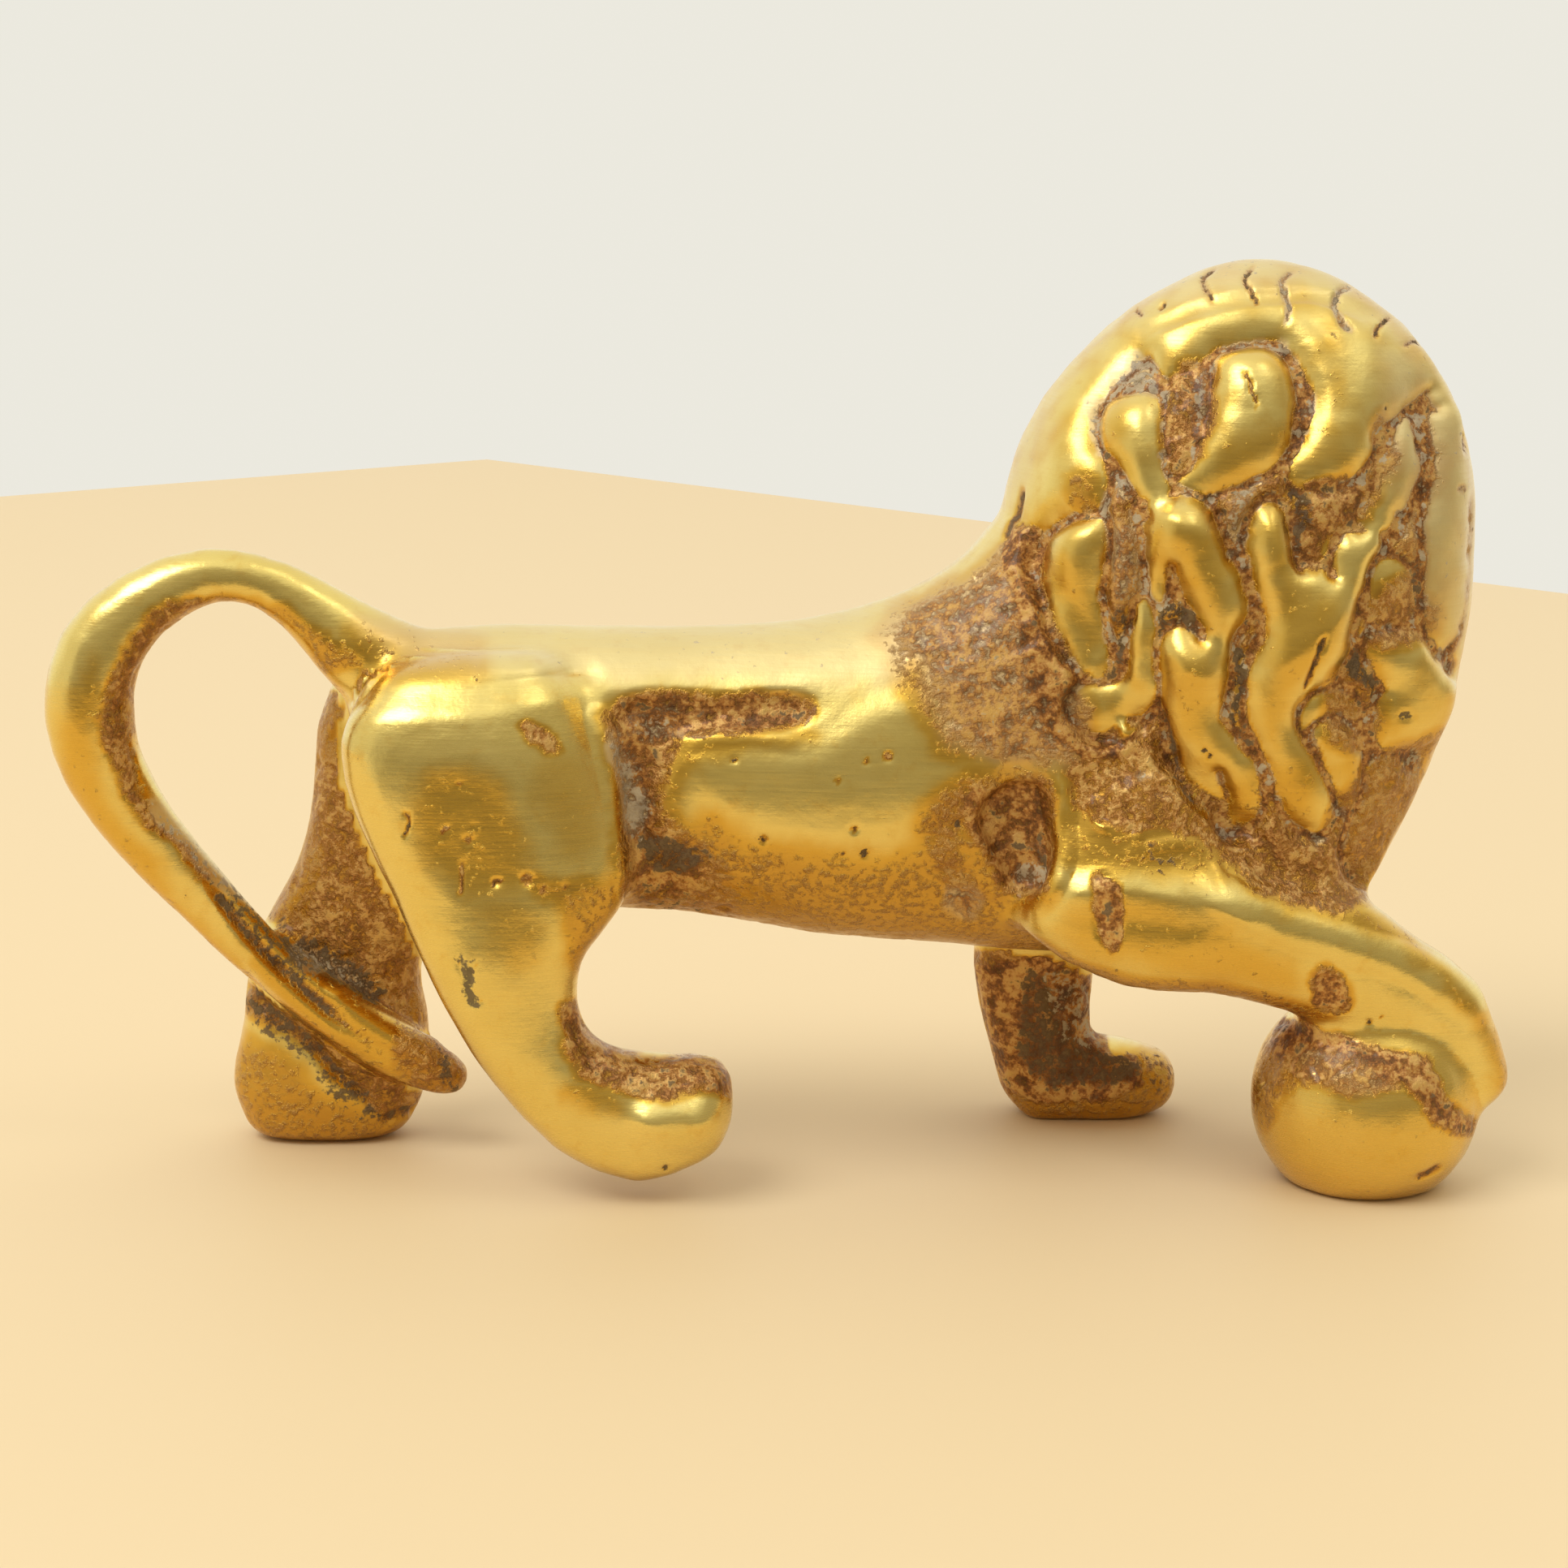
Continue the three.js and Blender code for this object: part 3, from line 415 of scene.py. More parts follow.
# Marks of the side view, as points chosen in the photo, across and down in its pixels.
# Locks: how high they stand, and the outline
LOCKS = [
    (1.3, [(1400, 428), (1372, 452), (1350, 478), (1339, 500), (1337, 530), (1345, 562), (1352, 590),
        (1346, 620), (1318, 628), (1290, 640), (1268, 662), (1252, 700), (1225, 720), (1170, 700),
        (1170, 560), (1260, 400), (1380, 280), (1560, 240), (1720, 270), (1830, 360), (1900, 480),
        (1900, 560), (1830, 560), (1790, 520), (1762, 488), (1745, 492), (1722, 512), (1703, 528),
        (1699, 550), (1690, 572), (1670, 592), (1643, 600), (1615, 601), (1597, 590), (1598, 574),
        (1607, 556), (1619, 528), (1627, 500), (1622, 472), (1612, 446), (1597, 424), (1580, 407),
        (1560, 408), (1530, 414), (1497, 421), (1476, 432), (1455, 446), (1436, 456), (1424, 446),
        (1412, 430)]),
    (1.3, [(1350, 494), (1370, 479), (1400, 473), (1422, 481), (1430, 502), (1431, 545), (1434, 578),
        (1446, 604), (1460, 625), (1440, 650), (1415, 650), (1404, 622), (1388, 592), (1368, 563),
        (1351, 546), (1346, 520)]),
    (0.85, [(1440, 462), (1460, 452), (1467, 478), (1463, 520), (1458, 575), (1442, 585), (1437, 540),
        (1434, 500)]),
    (1.55, [(1500, 430), (1520, 420), (1546, 416), (1572, 422), (1590, 442), (1598, 472), (1599, 508),
        (1591, 543), (1575, 571), (1548, 587), (1515, 599), (1482, 611), (1455, 606), (1447, 592),
        (1468, 572), (1485, 540), (1496, 500), (1499, 460)]),
    (1.45, [(1290, 656), (1306, 645), (1330, 640), (1350, 642), (1354, 668), (1348, 700), (1346, 740),
        (1351, 780), (1359, 812), (1360, 838), (1348, 838), (1322, 808), (1299, 772), (1283, 732),
        (1276, 700), (1277, 674)]),
    (1.3, [(1393, 762), (1397, 748), (1407, 743), (1416, 755), (1421, 785), (1422, 830), (1417, 862),
        (1400, 889), (1375, 907), (1350, 904), (1328, 886), (1321, 866), (1332, 853), (1353, 848),
        (1371, 846), (1382, 834), (1386, 800)]),
    (1.45, [(1430, 612), (1450, 604), (1478, 612), (1497, 640), (1511, 668), (1517, 692), (1530, 712),
        (1538, 735), (1539, 760), (1528, 778), (1517, 800), (1515, 840), (1507, 865), (1506, 887),
        (1514, 906), (1531, 930), (1547, 952), (1553, 980), (1550, 1008), (1536, 1026), (1517, 1024),
        (1513, 1000), (1511, 975), (1502, 957), (1497, 963), (1503, 988), (1503, 1008), (1490, 1004),
        (1473, 988), (1455, 965), (1441, 935), (1430, 895), (1424, 850), (1421, 815), (1429, 790),
        (1448, 778), (1466, 782), (1480, 793), (1486, 782), (1470, 754), (1453, 724), (1443, 698),
        (1437, 700), (1430, 742), (1420, 745), (1412, 700), (1406, 660), (1402, 622)]),
    (1.45, [(1545, 646), (1555, 627), (1573, 620), (1588, 633), (1592, 662), (1599, 692), (1608, 708),
        (1622, 698), (1637, 702), (1651, 717), (1655, 692), (1663, 668), (1690, 646), (1720, 631),
        (1738, 640), (1717, 670), (1702, 700), (1691, 727), (1681, 747), (1674, 772), (1671, 800),
        (1663, 826), (1648, 847), (1622, 860), (1604, 882), (1604, 905), (1618, 932), (1633, 957),
        (1647, 985), (1652, 1012), (1634, 1034), (1608, 1030), (1588, 1008), (1578, 982), (1571, 955),
        (1559, 930), (1545, 905), (1540, 880), (1541, 845), (1550, 815), (1561, 790), (1561, 768),
        (1555, 735), (1547, 705), (1540, 678)]),
    (1.2, [(1735, 526), (1748, 507), (1754, 530), (1757, 570), (1752, 602), (1740, 637), (1728, 660),
        (1700, 660), (1680, 652), (1690, 628), (1712, 600), (1722, 565)]),
    (1.25, [(1752, 440), (1768, 500), (1776, 540), (1778, 580), (1773, 620), (1767, 660), (1769, 700),
        (1768, 760), (1771, 792), (1779, 809), (1793, 793), (1804, 765), (1809, 730), (1810, 680),
        (1808, 640), (1815, 602), (1819, 560), (1812, 500), (1790, 430)]),
    (1.15, [(1826, 560), (1822, 600), (1816, 650), (1817, 700), (1812, 745), (1800, 790), (1786, 818),
        (1800, 850), (1900, 850), (1900, 560)]),
    (1.25, [(1699, 788), (1718, 780), (1748, 781), (1768, 800), (1785, 822), (1806, 798), (1830, 780),
        (1880, 800), (1840, 900), (1790, 1000), (1770, 960), (1748, 925), (1722, 932), (1706, 902),
        (1713, 872), (1717, 850), (1704, 828), (1695, 806)]),
    (1.15, [(1624, 903), (1645, 890), (1668, 893), (1685, 913), (1690, 942), (1690, 978), (1682, 1002),
        (1662, 1002), (1655, 976), (1643, 950), (1630, 925)]),
    (0.8, [(1702, 700), (1720, 688), (1745, 700), (1754, 735), (1750, 770), (1712, 772), (1700, 745)]),
    (0.8, [(1605, 890), (1620, 866), (1655, 855), (1680, 868), (1684, 890), (1660, 884), (1636, 890),
        (1615, 905)]),
    (0.8, [(1612, 640), (1625, 610), (1660, 608), (1690, 600), (1682, 632), (1655, 655), (1640, 690),
        (1622, 690)]),
    (0.8, [(1702, 950), (1722, 938), (1744, 950), (1750, 985), (1735, 1040), (1715, 1080), (1690, 1085),
        (1672, 1050), (1690, 1000), (1697, 970)]),
]

# Grooves: depth, half width, what fills them and the line
GROOVES = [
    (-0.5, 1.1, "", [(400, 1215), (450, 1250), (500, 1280), (545, 1305)]),
    (-0.3, 1.3, "", [(1470, 1080), (1560, 1130), (1650, 1163), (1740, 1190), (1820, 1240)]),
    (0.16, 0.17, "dark", [(1498, 334), (1488, 342), (1483, 350), (1487, 360), (1495, 372)]),
    (0.16, 0.17, "dark", [(1545, 333), (1537, 342), (1533, 350), (1539, 360), (1548, 370), (1546, 377)]),
    (0.2, 0.2, "pale", [(1594, 338), (1584, 345), (1579, 352), (1584, 364), (1588, 380), (1586, 396)]),
    (0.24, 0.24, "pale", [(1664, 355), (1650, 362), (1645, 375), (1648, 390), (1656, 402), (1664, 410)]),
    (0.18, 0.18, "dark", [(1713, 392), (1700, 400), (1695, 410), (1694, 419)]),
    (0.14, 0.16, "dark", [(1728, 428), (1740, 424), (1746, 427)]),
    (0.2, 0.16, "dark", [(1399, 383), (1408, 390)]),
    (0.2, 0.14, "dark", [(1436, 377), (1430, 383)]),
    (0.22, 0.12, "patina", [(1531, 458), (1538, 470), (1543, 485), (1549, 497), (1547, 506)]),
    (0.34, 0.22, "dark", [(1629, 782), (1624, 800), (1616, 828), (1610, 850)]),
    (0.2, 0.45, "", [(1405, 407), (1440, 395), (1475, 382), (1520, 373), (1560, 368), (1610, 367),
        (1650, 377), (1690, 395)]),
    (0.3, 0.3, "dark", [(1790, 480), (1797, 500), (1803, 530), (1806, 560)]),
    (0.18, 0.2, "dark", [(1255, 600), (1249, 625), (1243, 650), (1238, 668)]),
    (-0.35, 0.75, "", [(738, 880), (748, 920), (756, 970), (764, 1020), (772, 1065), (776, 1100)]),
    (-0.4, 0.75, "", [(1300, 955), (1308, 1000), (1312, 1050), (1300, 1092), (1278, 1118)]),
    (-0.14, 0.6, "", [(845, 918), (880, 908), (930, 908), (990, 916)]),
    (-0.12, 0.55, "", [(1395, 1052), (1430, 1042), (1465, 1040), (1492, 1062), (1503, 1090)]),
    (-0.22, 0.4, "", [(1345, 985), (1352, 1010), (1368, 1024)]),
    (-0.2, 0.35, "", [(1398, 990), (1405, 1015), (1400, 1040)]),
    (0.25, 0.35, "patina", [(1418, 870), (1412, 895), (1390, 912), (1360, 920), (1335, 908)]),
    (0.3, 0.35, "dark", [(1425, 872), (1432, 910), (1446, 945), (1462, 975), (1485, 1002)]),
    (0.16, 0.28, "dark", [(1747, 1452), (1760, 1446), (1776, 1437)]),
    (0.1, 0.14, "dark", [(498, 1000), (504, 1012), (498, 1032)]),
    (0.12, 0.16, "patina", [(543, 1030), (546, 1024), (552, 1022)]),
    (0.1, 0.16, "patina", [(570, 1062), (568, 1085), (566, 1105)]),
    (0.12, 0.16, "patina", [(606, 1093), (613, 1088), (620, 1090)]),
    (0.35, 0.5, "dark", [(262, 1090), (300, 1140), (340, 1185), (380, 1222), (420, 1258)]),
    (0.35, 0.5, "dark", [(300, 1205), (340, 1250), (390, 1295), (430, 1335), (470, 1362)]),
    (-0.2, 0.6, "", [(285, 1150), (330, 1200), (385, 1250), (440, 1290)]),
    (0.35, 0.4, "dark", [(470, 1385), (490, 1372), (520, 1366), (545, 1368)]),
]

# Forms: how far they stand out, the softness of their edge, and the outline
FORMS = [
    (0.45, 2.2, [(1415, 625), (1450, 608), (1490, 620), (1510, 660), (1480, 680), (1430, 670)]),
    (0.45, 2.2, [(1430, 800), (1455, 785), (1490, 800), (1505, 840), (1480, 860), (1435, 850)]),
    (0.4, 2, [(1548, 640), (1570, 625), (1590, 650), (1595, 690), (1560, 700)]),
    (0.4, 2, [(1560, 790), (1600, 750), (1660, 740), (1670, 790), (1640, 830), (1570, 840)]),
    (0.6, 1.5, [(775, 1368), (820, 1352), (870, 1360), (885, 1390), (850, 1420), (800, 1415), (775, 1395)]),
    (-0.5, 0.9, [(778, 852), (830, 850), (900, 855), (960, 850), (992, 856), (1000, 878), (985, 896),
        (940, 902), (880, 900), (830, 908), (790, 900), (770, 876)]),
    (-0.5, 1.4, [(748, 860), (800, 862), (838, 900), (826, 940), (812, 985), (816, 1030), (840, 1062),
        (850, 1092), (812, 1112), (770, 1108), (762, 1040), (756, 970), (748, 910)]),
    (-0.45, 1.8, [(420, 806), (480, 798), (560, 798), (640, 800), (720, 812), (730, 840), (640, 866),
        (560, 880), (470, 882), (420, 876)]),
    (0.3, 1.6, [(850, 925), (930, 915), (1000, 915), (1060, 870), (1130, 850), (1180, 900), (1190, 960),
        (1150, 1020), (1050, 1050), (930, 1040), (860, 1000), (845, 960)]),
    (0.45, 1.8, [(1305, 1085), (1350, 1070), (1420, 1072), (1490, 1088), (1540, 1130), (1530, 1145),
        (1470, 1140), (1380, 1128), (1310, 1125)]),
    (-0.75, 0.7, [(1212, 985), (1250, 962), (1284, 968), (1294, 1000), (1296, 1050), (1287, 1090),
        (1262, 1106), (1238, 1090), (1220, 1050), (1205, 1020)]),
    (-0.2, 0.4, [(1248, 1062), (1268, 1050), (1282, 1066), (1278, 1092), (1258, 1102), (1244, 1086)]),
    (-0.22, 1.8, [(520, 955), (580, 940), (630, 975), (650, 1040), (650, 1095), (590, 1110), (530, 1080),
        (505, 1020)]),
    (-0.12, 0.3, [(557, 1184), (568, 1180), (577, 1196), (590, 1181), (586, 1205), (586, 1225),
        (599, 1232), (588, 1241), (574, 1242), (569, 1224), (567, 1206)]),
    (-0.12, 0.3, [(1345, 1082), (1362, 1074), (1378, 1090), (1380, 1120), (1386, 1150), (1372, 1168),
        (1352, 1158), (1344, 1120)]),
    (-0.22, 0.5, [(1622, 1206), (1640, 1200), (1656, 1212), (1655, 1234), (1638, 1243), (1622, 1232)]),
    (-0.1, 0.3, [(641, 893), (660, 890), (680, 898), (688, 920), (678, 930), (660, 918), (645, 908)]),
    (-0.25, 0.8, [(1170, 1095), (1195, 1092), (1212, 1110), (1205, 1132), (1180, 1130), (1166, 1112)]),
]

# Patches: the sections they keep to, how much, the softness of their edge, and the outline
PATINA_PATCHES = [
    # Hind legs and tail
    ("left_hind_leg", 0.62, 1.6, [(290, 830), (470, 830), (530, 1100), (545, 1290), (420, 1240),
        (330, 1190), (290, 1000)]),
    ("tail", 0.7, 0.8, [(480, 1270), (560, 1290), (600, 1330), (590, 1380), (520, 1375), (490, 1320)]),
    ("tail", 0.32, 0.8, [(290, 1150), (340, 1130), (585, 1310), (585, 1350), (540, 1365), (400, 1300)]),
    ("", 0.22, 1.2, [(590, 1100), (650, 1110), (670, 1160), (640, 1200), (600, 1170)]),
    ("left_hind_leg", 0.5, 1, [(285, 1290), (340, 1290), (420, 1350), (520, 1390), (500, 1420),
        (300, 1420), (280, 1370)]),
    ("", 0.29, 1.2, [(520, 955), (580, 940), (630, 975), (650, 1040), (650, 1095), (590, 1110),
        (530, 1080), (505, 1020)]),
    ("", 0.3, 1, [(60, 1000), (70, 900), (110, 800), (130, 860), (120, 930), (150, 1010), (230, 1110),
        (300, 1190), (270, 1190), (190, 1130), (110, 1060)]),
    ("", 0.45, 0.8, [(640, 1070), (690, 1080), (740, 1085), (770, 1080), (755, 1160), (700, 1200),
        (690, 1130), (650, 1100)]),
    ("", 0.85, 0.6, [(690, 1240), (725, 1240), (760, 1280), (800, 1305), (850, 1300), (895, 1315),
        (905, 1352), (860, 1354), (815, 1352), (770, 1347), (735, 1342), (706, 1312), (692, 1280)]),
    ("", 0.3, 0.8, [(700, 1330), (760, 1345), (770, 1375), (720, 1370), (690, 1350)]),
    ("left_hind_leg", 0.75, 0.6, [(382, 940), (430, 950), (470, 1080), (520, 1180), (520, 1260),
        (580, 1310), (585, 1350), (540, 1365), (470, 1385), (380, 1290), (300, 1250), (310, 1200),
        (340, 1130), (385, 1080)]),
    ("tail torso left_hind_leg", 0.8, 0.5, [(122, 870), (140, 830), (175, 760), (230, 735), (250, 748),
        (200, 780), (178, 840), (172, 920), (185, 980), (215, 1030), (260, 1080), (250, 1090), (190, 1030),
        (150, 970), (130, 920)]),
    ("tail torso left_hind_leg", 0.5, 0.6, [(300, 740), (350, 770), (392, 830), (412, 880), (400, 840),
        (440, 820), (400, 780), (340, 740)]),
    # Body and neck
    ("", 0.7, 1.4, [(780, 1080), (850, 1030), (900, 1060), (930, 1110), (900, 1150), (830, 1140),
        (780, 1130)]),
    ("", 0.64, 1.2, [(1130, 1000), (1200, 945), (1250, 955), (1210, 1000), (1190, 1040), (1230, 1100),
        (1200, 1130), (1140, 1090)]),
    ("", 0.2, 1.2, [(670, 930), (735, 940), (745, 1040), (700, 1060), (660, 1000)]),
    ("", 0.36, 1.2, [(430, 765), (500, 772), (590, 792), (600, 828), (520, 836), (450, 832), (415, 800)]),
    ("", 0.95, 0.6, [(768, 852), (830, 850), (900, 855), (960, 850), (992, 856), (1000, 878), (985, 898),
        (940, 904), (880, 902), (830, 908), (790, 905), (760, 880)]),
    ("", 0.9, 1.2, [(745, 870), (800, 872), (838, 905), (826, 945), (822, 985), (840, 1020), (880, 1060),
        (870, 1110), (812, 1122), (770, 1110), (762, 1040), (756, 970), (745, 910)]),
    ("", 0.5, 1.5, [(770, 1085), (850, 1010), (930, 1030), (1010, 1045), (1100, 1050), (1160, 990),
        (1200, 940), (1290, 950), (1300, 1100), (1250, 1130), (1240, 1200), (1100, 1185), (950, 1165),
        (850, 1140), (780, 1130)]),
    ("", 0.95, 0.8, [(1180, 985), (1215, 960), (1285, 955), (1300, 1000), (1300, 1060), (1285, 1100),
        (1240, 1100), (1215, 1050), (1190, 1030)]),
    ("", 0.8, 1.2, [(1120, 745), (1200, 710), (1262, 650), (1283, 740), (1348, 880), (1330, 930),
        (1290, 950), (1210, 930), (1165, 905), (1155, 860), (1130, 820), (1090, 790)]),
    ("", 0.55, 1.2, [(1080, 765), (1160, 735), (1180, 880), (1220, 930), (1160, 935), (1120, 870),
        (1095, 830)]),
    ("", 0.9, 0.5, [(641, 893), (660, 890), (680, 898), (688, 920), (678, 930), (660, 918), (645, 908)]),
    ("", 0.35, 1, [(815, 905), (860, 900), (960, 905), (1000, 900), (1000, 925), (900, 935), (850, 960),
        (830, 1010), (815, 980)]),
    # Mane and face
    ("", 0.42, 1.2, [(1300, 1005), (1350, 990), (1420, 1010), (1500, 1030), (1540, 1080), (1440, 1085),
        (1350, 1075), (1305, 1060)]),
    ("", 1, 0.4, [(1238, 650), (1264, 650), (1270, 690), (1278, 733), (1294, 775), (1317, 812),
        (1346, 842), (1320, 858), (1316, 890), (1345, 915), (1405, 920), (1390, 940), (1320, 930),
        (1275, 870), (1250, 760)]),
    ("", 0.9, 0.6, [(1605, 600), (1695, 590), (1690, 640), (1650, 665), (1640, 700), (1610, 700)]),
    ("", 0.85, 0.6, [(1434, 455), (1495, 440), (1495, 540), (1450, 590), (1434, 560)]),
    ("", 0.26, 1.2, [(1440, 640), (1500, 650), (1525, 720), (1500, 770), (1460, 720), (1430, 680)]),
    ("", 0.26, 1.2, [(1432, 810), (1490, 800), (1500, 880), (1490, 930), (1450, 920), (1430, 860)]),
    ("", 0.27, 1.2, [(1555, 650), (1590, 640), (1600, 720), (1660, 740), (1640, 820), (1600, 860),
        (1590, 960), (1560, 900), (1555, 820), (1565, 760)]),
    ("", 0.24, 1.2, [(1500, 540), (1570, 520), (1590, 540), (1540, 590), (1480, 600)]),
    ("", 0.24, 1.2, [(1290, 690), (1340, 680), (1350, 780), (1340, 830), (1300, 760)]),
    ("", 0.8, 0.8, [(1696, 520), (1720, 510), (1735, 560), (1720, 600), (1690, 640), (1640, 660),
        (1600, 640), (1620, 620), (1680, 605), (1700, 570)]),
    ("", 0.5, 0.6, [(1760, 530), (1775, 540), (1778, 600), (1765, 640), (1755, 600)]),
    ("", 0.5, 0.6, [(1300, 585), (1345, 580), (1350, 622), (1312, 628)]),
    ("", 0.75, 0.8, [(1690, 740), (1760, 700), (1775, 780), (1700, 800)]),
    ("", 0.7, 0.9, [(1640, 850), (1700, 800), (1720, 860), (1700, 930), (1650, 920)]),
    ("", 0.68, 1, [(1640, 1000), (1700, 930), (1760, 900), (1790, 880), (1700, 1100), (1640, 1080)]),
    ("", 0.75, 0.8, [(1310, 930), (1400, 905), (1430, 900), (1470, 980), (1500, 1010), (1560, 1030),
        (1600, 1040), (1680, 1060), (1690, 1100), (1640, 1130), (1560, 1110), (1500, 1060), (1440, 1030),
        (1370, 1030), (1320, 990)]),
    # Forelegs and ball
    ("left_foreleg", 0.75, 0.8, [(1190, 1140), (1360, 1150), (1350, 1215), (1200, 1215)]),
    ("ball", 0.2, 3, [(1500, 1240), (1900, 1240), (1900, 1500), (1500, 1500)]),
    ("", 0.8, 0.5, [(1170, 1095), (1195, 1092), (1212, 1110), (1205, 1132), (1180, 1130), (1166, 1112)]),
    ("", 0.75, 0.8, [(1585, 1272), (1700, 1290), (1745, 1335), (1700, 1350), (1620, 1345), (1575, 1320)]),
    ("left_foreleg", 0.55, 1, [(1240, 1330), (1400, 1290), (1470, 1310), (1470, 1370), (1260, 1385)]),
    ("", 0.28, 1.5, [(1320, 1110), (1400, 1100), (1500, 1130), (1600, 1180), (1600, 1230), (1500, 1220),
        (1380, 1190), (1310, 1170)]),
    ("", 0.45, 1, [(1560, 1100), (1640, 1110), (1700, 1120), (1760, 1180), (1840, 1260), (1870, 1330),
        (1850, 1380), (1835, 1300), (1800, 1240), (1740, 1180), (1660, 1140), (1580, 1130)]),
    ("", 1, 0.3, [(1345, 1082), (1362, 1074), (1378, 1090), (1380, 1120), (1386, 1150), (1372, 1168),
        (1352, 1158), (1344, 1120)]),
    ("", 1, 0.4, [(1618, 1202), (1640, 1196), (1660, 1210), (1658, 1236), (1638, 1247), (1618, 1234)]),
    ("", 1, 0.5, [(1572, 1252), (1640, 1272), (1700, 1291), (1762, 1300), (1776, 1330), (1788, 1352),
        (1828, 1388), (1800, 1398), (1758, 1378), (1738, 1352), (1700, 1322), (1650, 1300), (1600, 1304),
        (1562, 1300)]),
    # Patina on the ball's upper left, under the foreleg, partly painted shade
    ("", 0.62, 1, [(1550, 1270), (1640, 1280), (1700, 1310), (1700, 1340), (1640, 1320), (1600, 1330),
        (1570, 1380), (1550, 1380)]),
    ("left_foreleg", 1, 0.4, [(1200, 1190), (1360, 1190), (1365, 1290), (1400, 1300), (1405, 1340),
        (1350, 1360), (1250, 1355), (1230, 1330)]),
]
DARK_PATCHES = [
    # Hind legs and tail
    ("", 0.35, 0.5, [(705, 1290), (745, 1300), (790, 1316), (850, 1312), (890, 1325), (900, 1350),
        (860, 1350), (820, 1346), (770, 1340), (730, 1330)]),
    ("", 0.9, 0.4, [(557, 1184), (568, 1180), (577, 1196), (590, 1181), (586, 1205), (586, 1225),
        (599, 1232), (588, 1241), (574, 1242), (569, 1224), (567, 1206)]),
    ("left_hind_leg tail", 0.75, 0.5, [(335, 1150), (370, 1150), (420, 1170), (470, 1215), (455, 1240),
        (420, 1225), (370, 1200), (330, 1180)]),
    ("left_hind_leg tail", 0.7, 0.5, [(300, 1215), (340, 1250), (400, 1300), (450, 1350), (480, 1390),
        (430, 1375), (380, 1310), (320, 1270)]),
    ("left_hind_leg tail", 0.7, 0.5, [(525, 1290), (550, 1300), (565, 1340), (560, 1358), (535, 1330)]),
    ("left_hind_leg tail", 0.6, 0.5, [(250, 1080), (300, 1090), (340, 1110), (350, 1140), (320, 1165),
        (290, 1130)]),
    # Body and neck
    ("", 0.8, 0.5, [(792, 1030), (830, 1030), (868, 1058), (840, 1080), (800, 1075), (786, 1050)]),
    ("", 0.5, 0.4, [(890, 882), (940, 876), (990, 868), (998, 885), (960, 897), (905, 897)]),
    ("", 0.45, 0.4, [(776, 1092), (840, 1100), (880, 1120), (850, 1136), (790, 1124)]),
    # Mane and face
    ("", 0.8, 0.35, [(1585, 590), (1605, 600), (1625, 635), (1615, 655), (1606, 690), (1598, 680),
        (1595, 640)]),
    ("", 0.8, 0.35, [(1432, 745), (1470, 755), (1486, 775), (1478, 790), (1450, 772), (1430, 790),
        (1420, 770)]),
    ("", 0.8, 0.35, [(1520, 805), (1540, 800), (1540, 850), (1530, 900), (1552, 925), (1545, 935),
        (1520, 905), (1515, 850)]),
    ("", 0.85, 0.35, [(1672, 820), (1690, 800), (1700, 830), (1716, 850), (1705, 870), (1690, 850),
        (1680, 840)]),
    ("", 0.7, 0.35, [(1753, 700), (1765, 695), (1767, 760), (1757, 760)]),
    ("", 0.7, 0.35, [(1365, 760), (1385, 760), (1382, 830), (1362, 845), (1366, 800)]),
    ("", 0.7, 0.4, [(1308, 848), (1322, 845), (1325, 880), (1312, 880)]),
    # Forelegs and ball
    ("", 0.5, 0.9, [(1420, 1050), (1440, 1040), (1462, 1055), (1455, 1078), (1430, 1080)]),
    ("left_foreleg", 0.4, 0.8, [(1380, 1300), (1450, 1300), (1450, 1350), (1390, 1350)]),
    ("", 0.75, 0.4, [(1262, 1040), (1278, 1050), (1280, 1085), (1262, 1070)]),
    ("left_foreleg", 0.75, 0.6, [(1270, 1200), (1300, 1210), (1330, 1280), (1390, 1300), (1395, 1330),
        (1340, 1345), (1270, 1330), (1250, 1260)]),
]
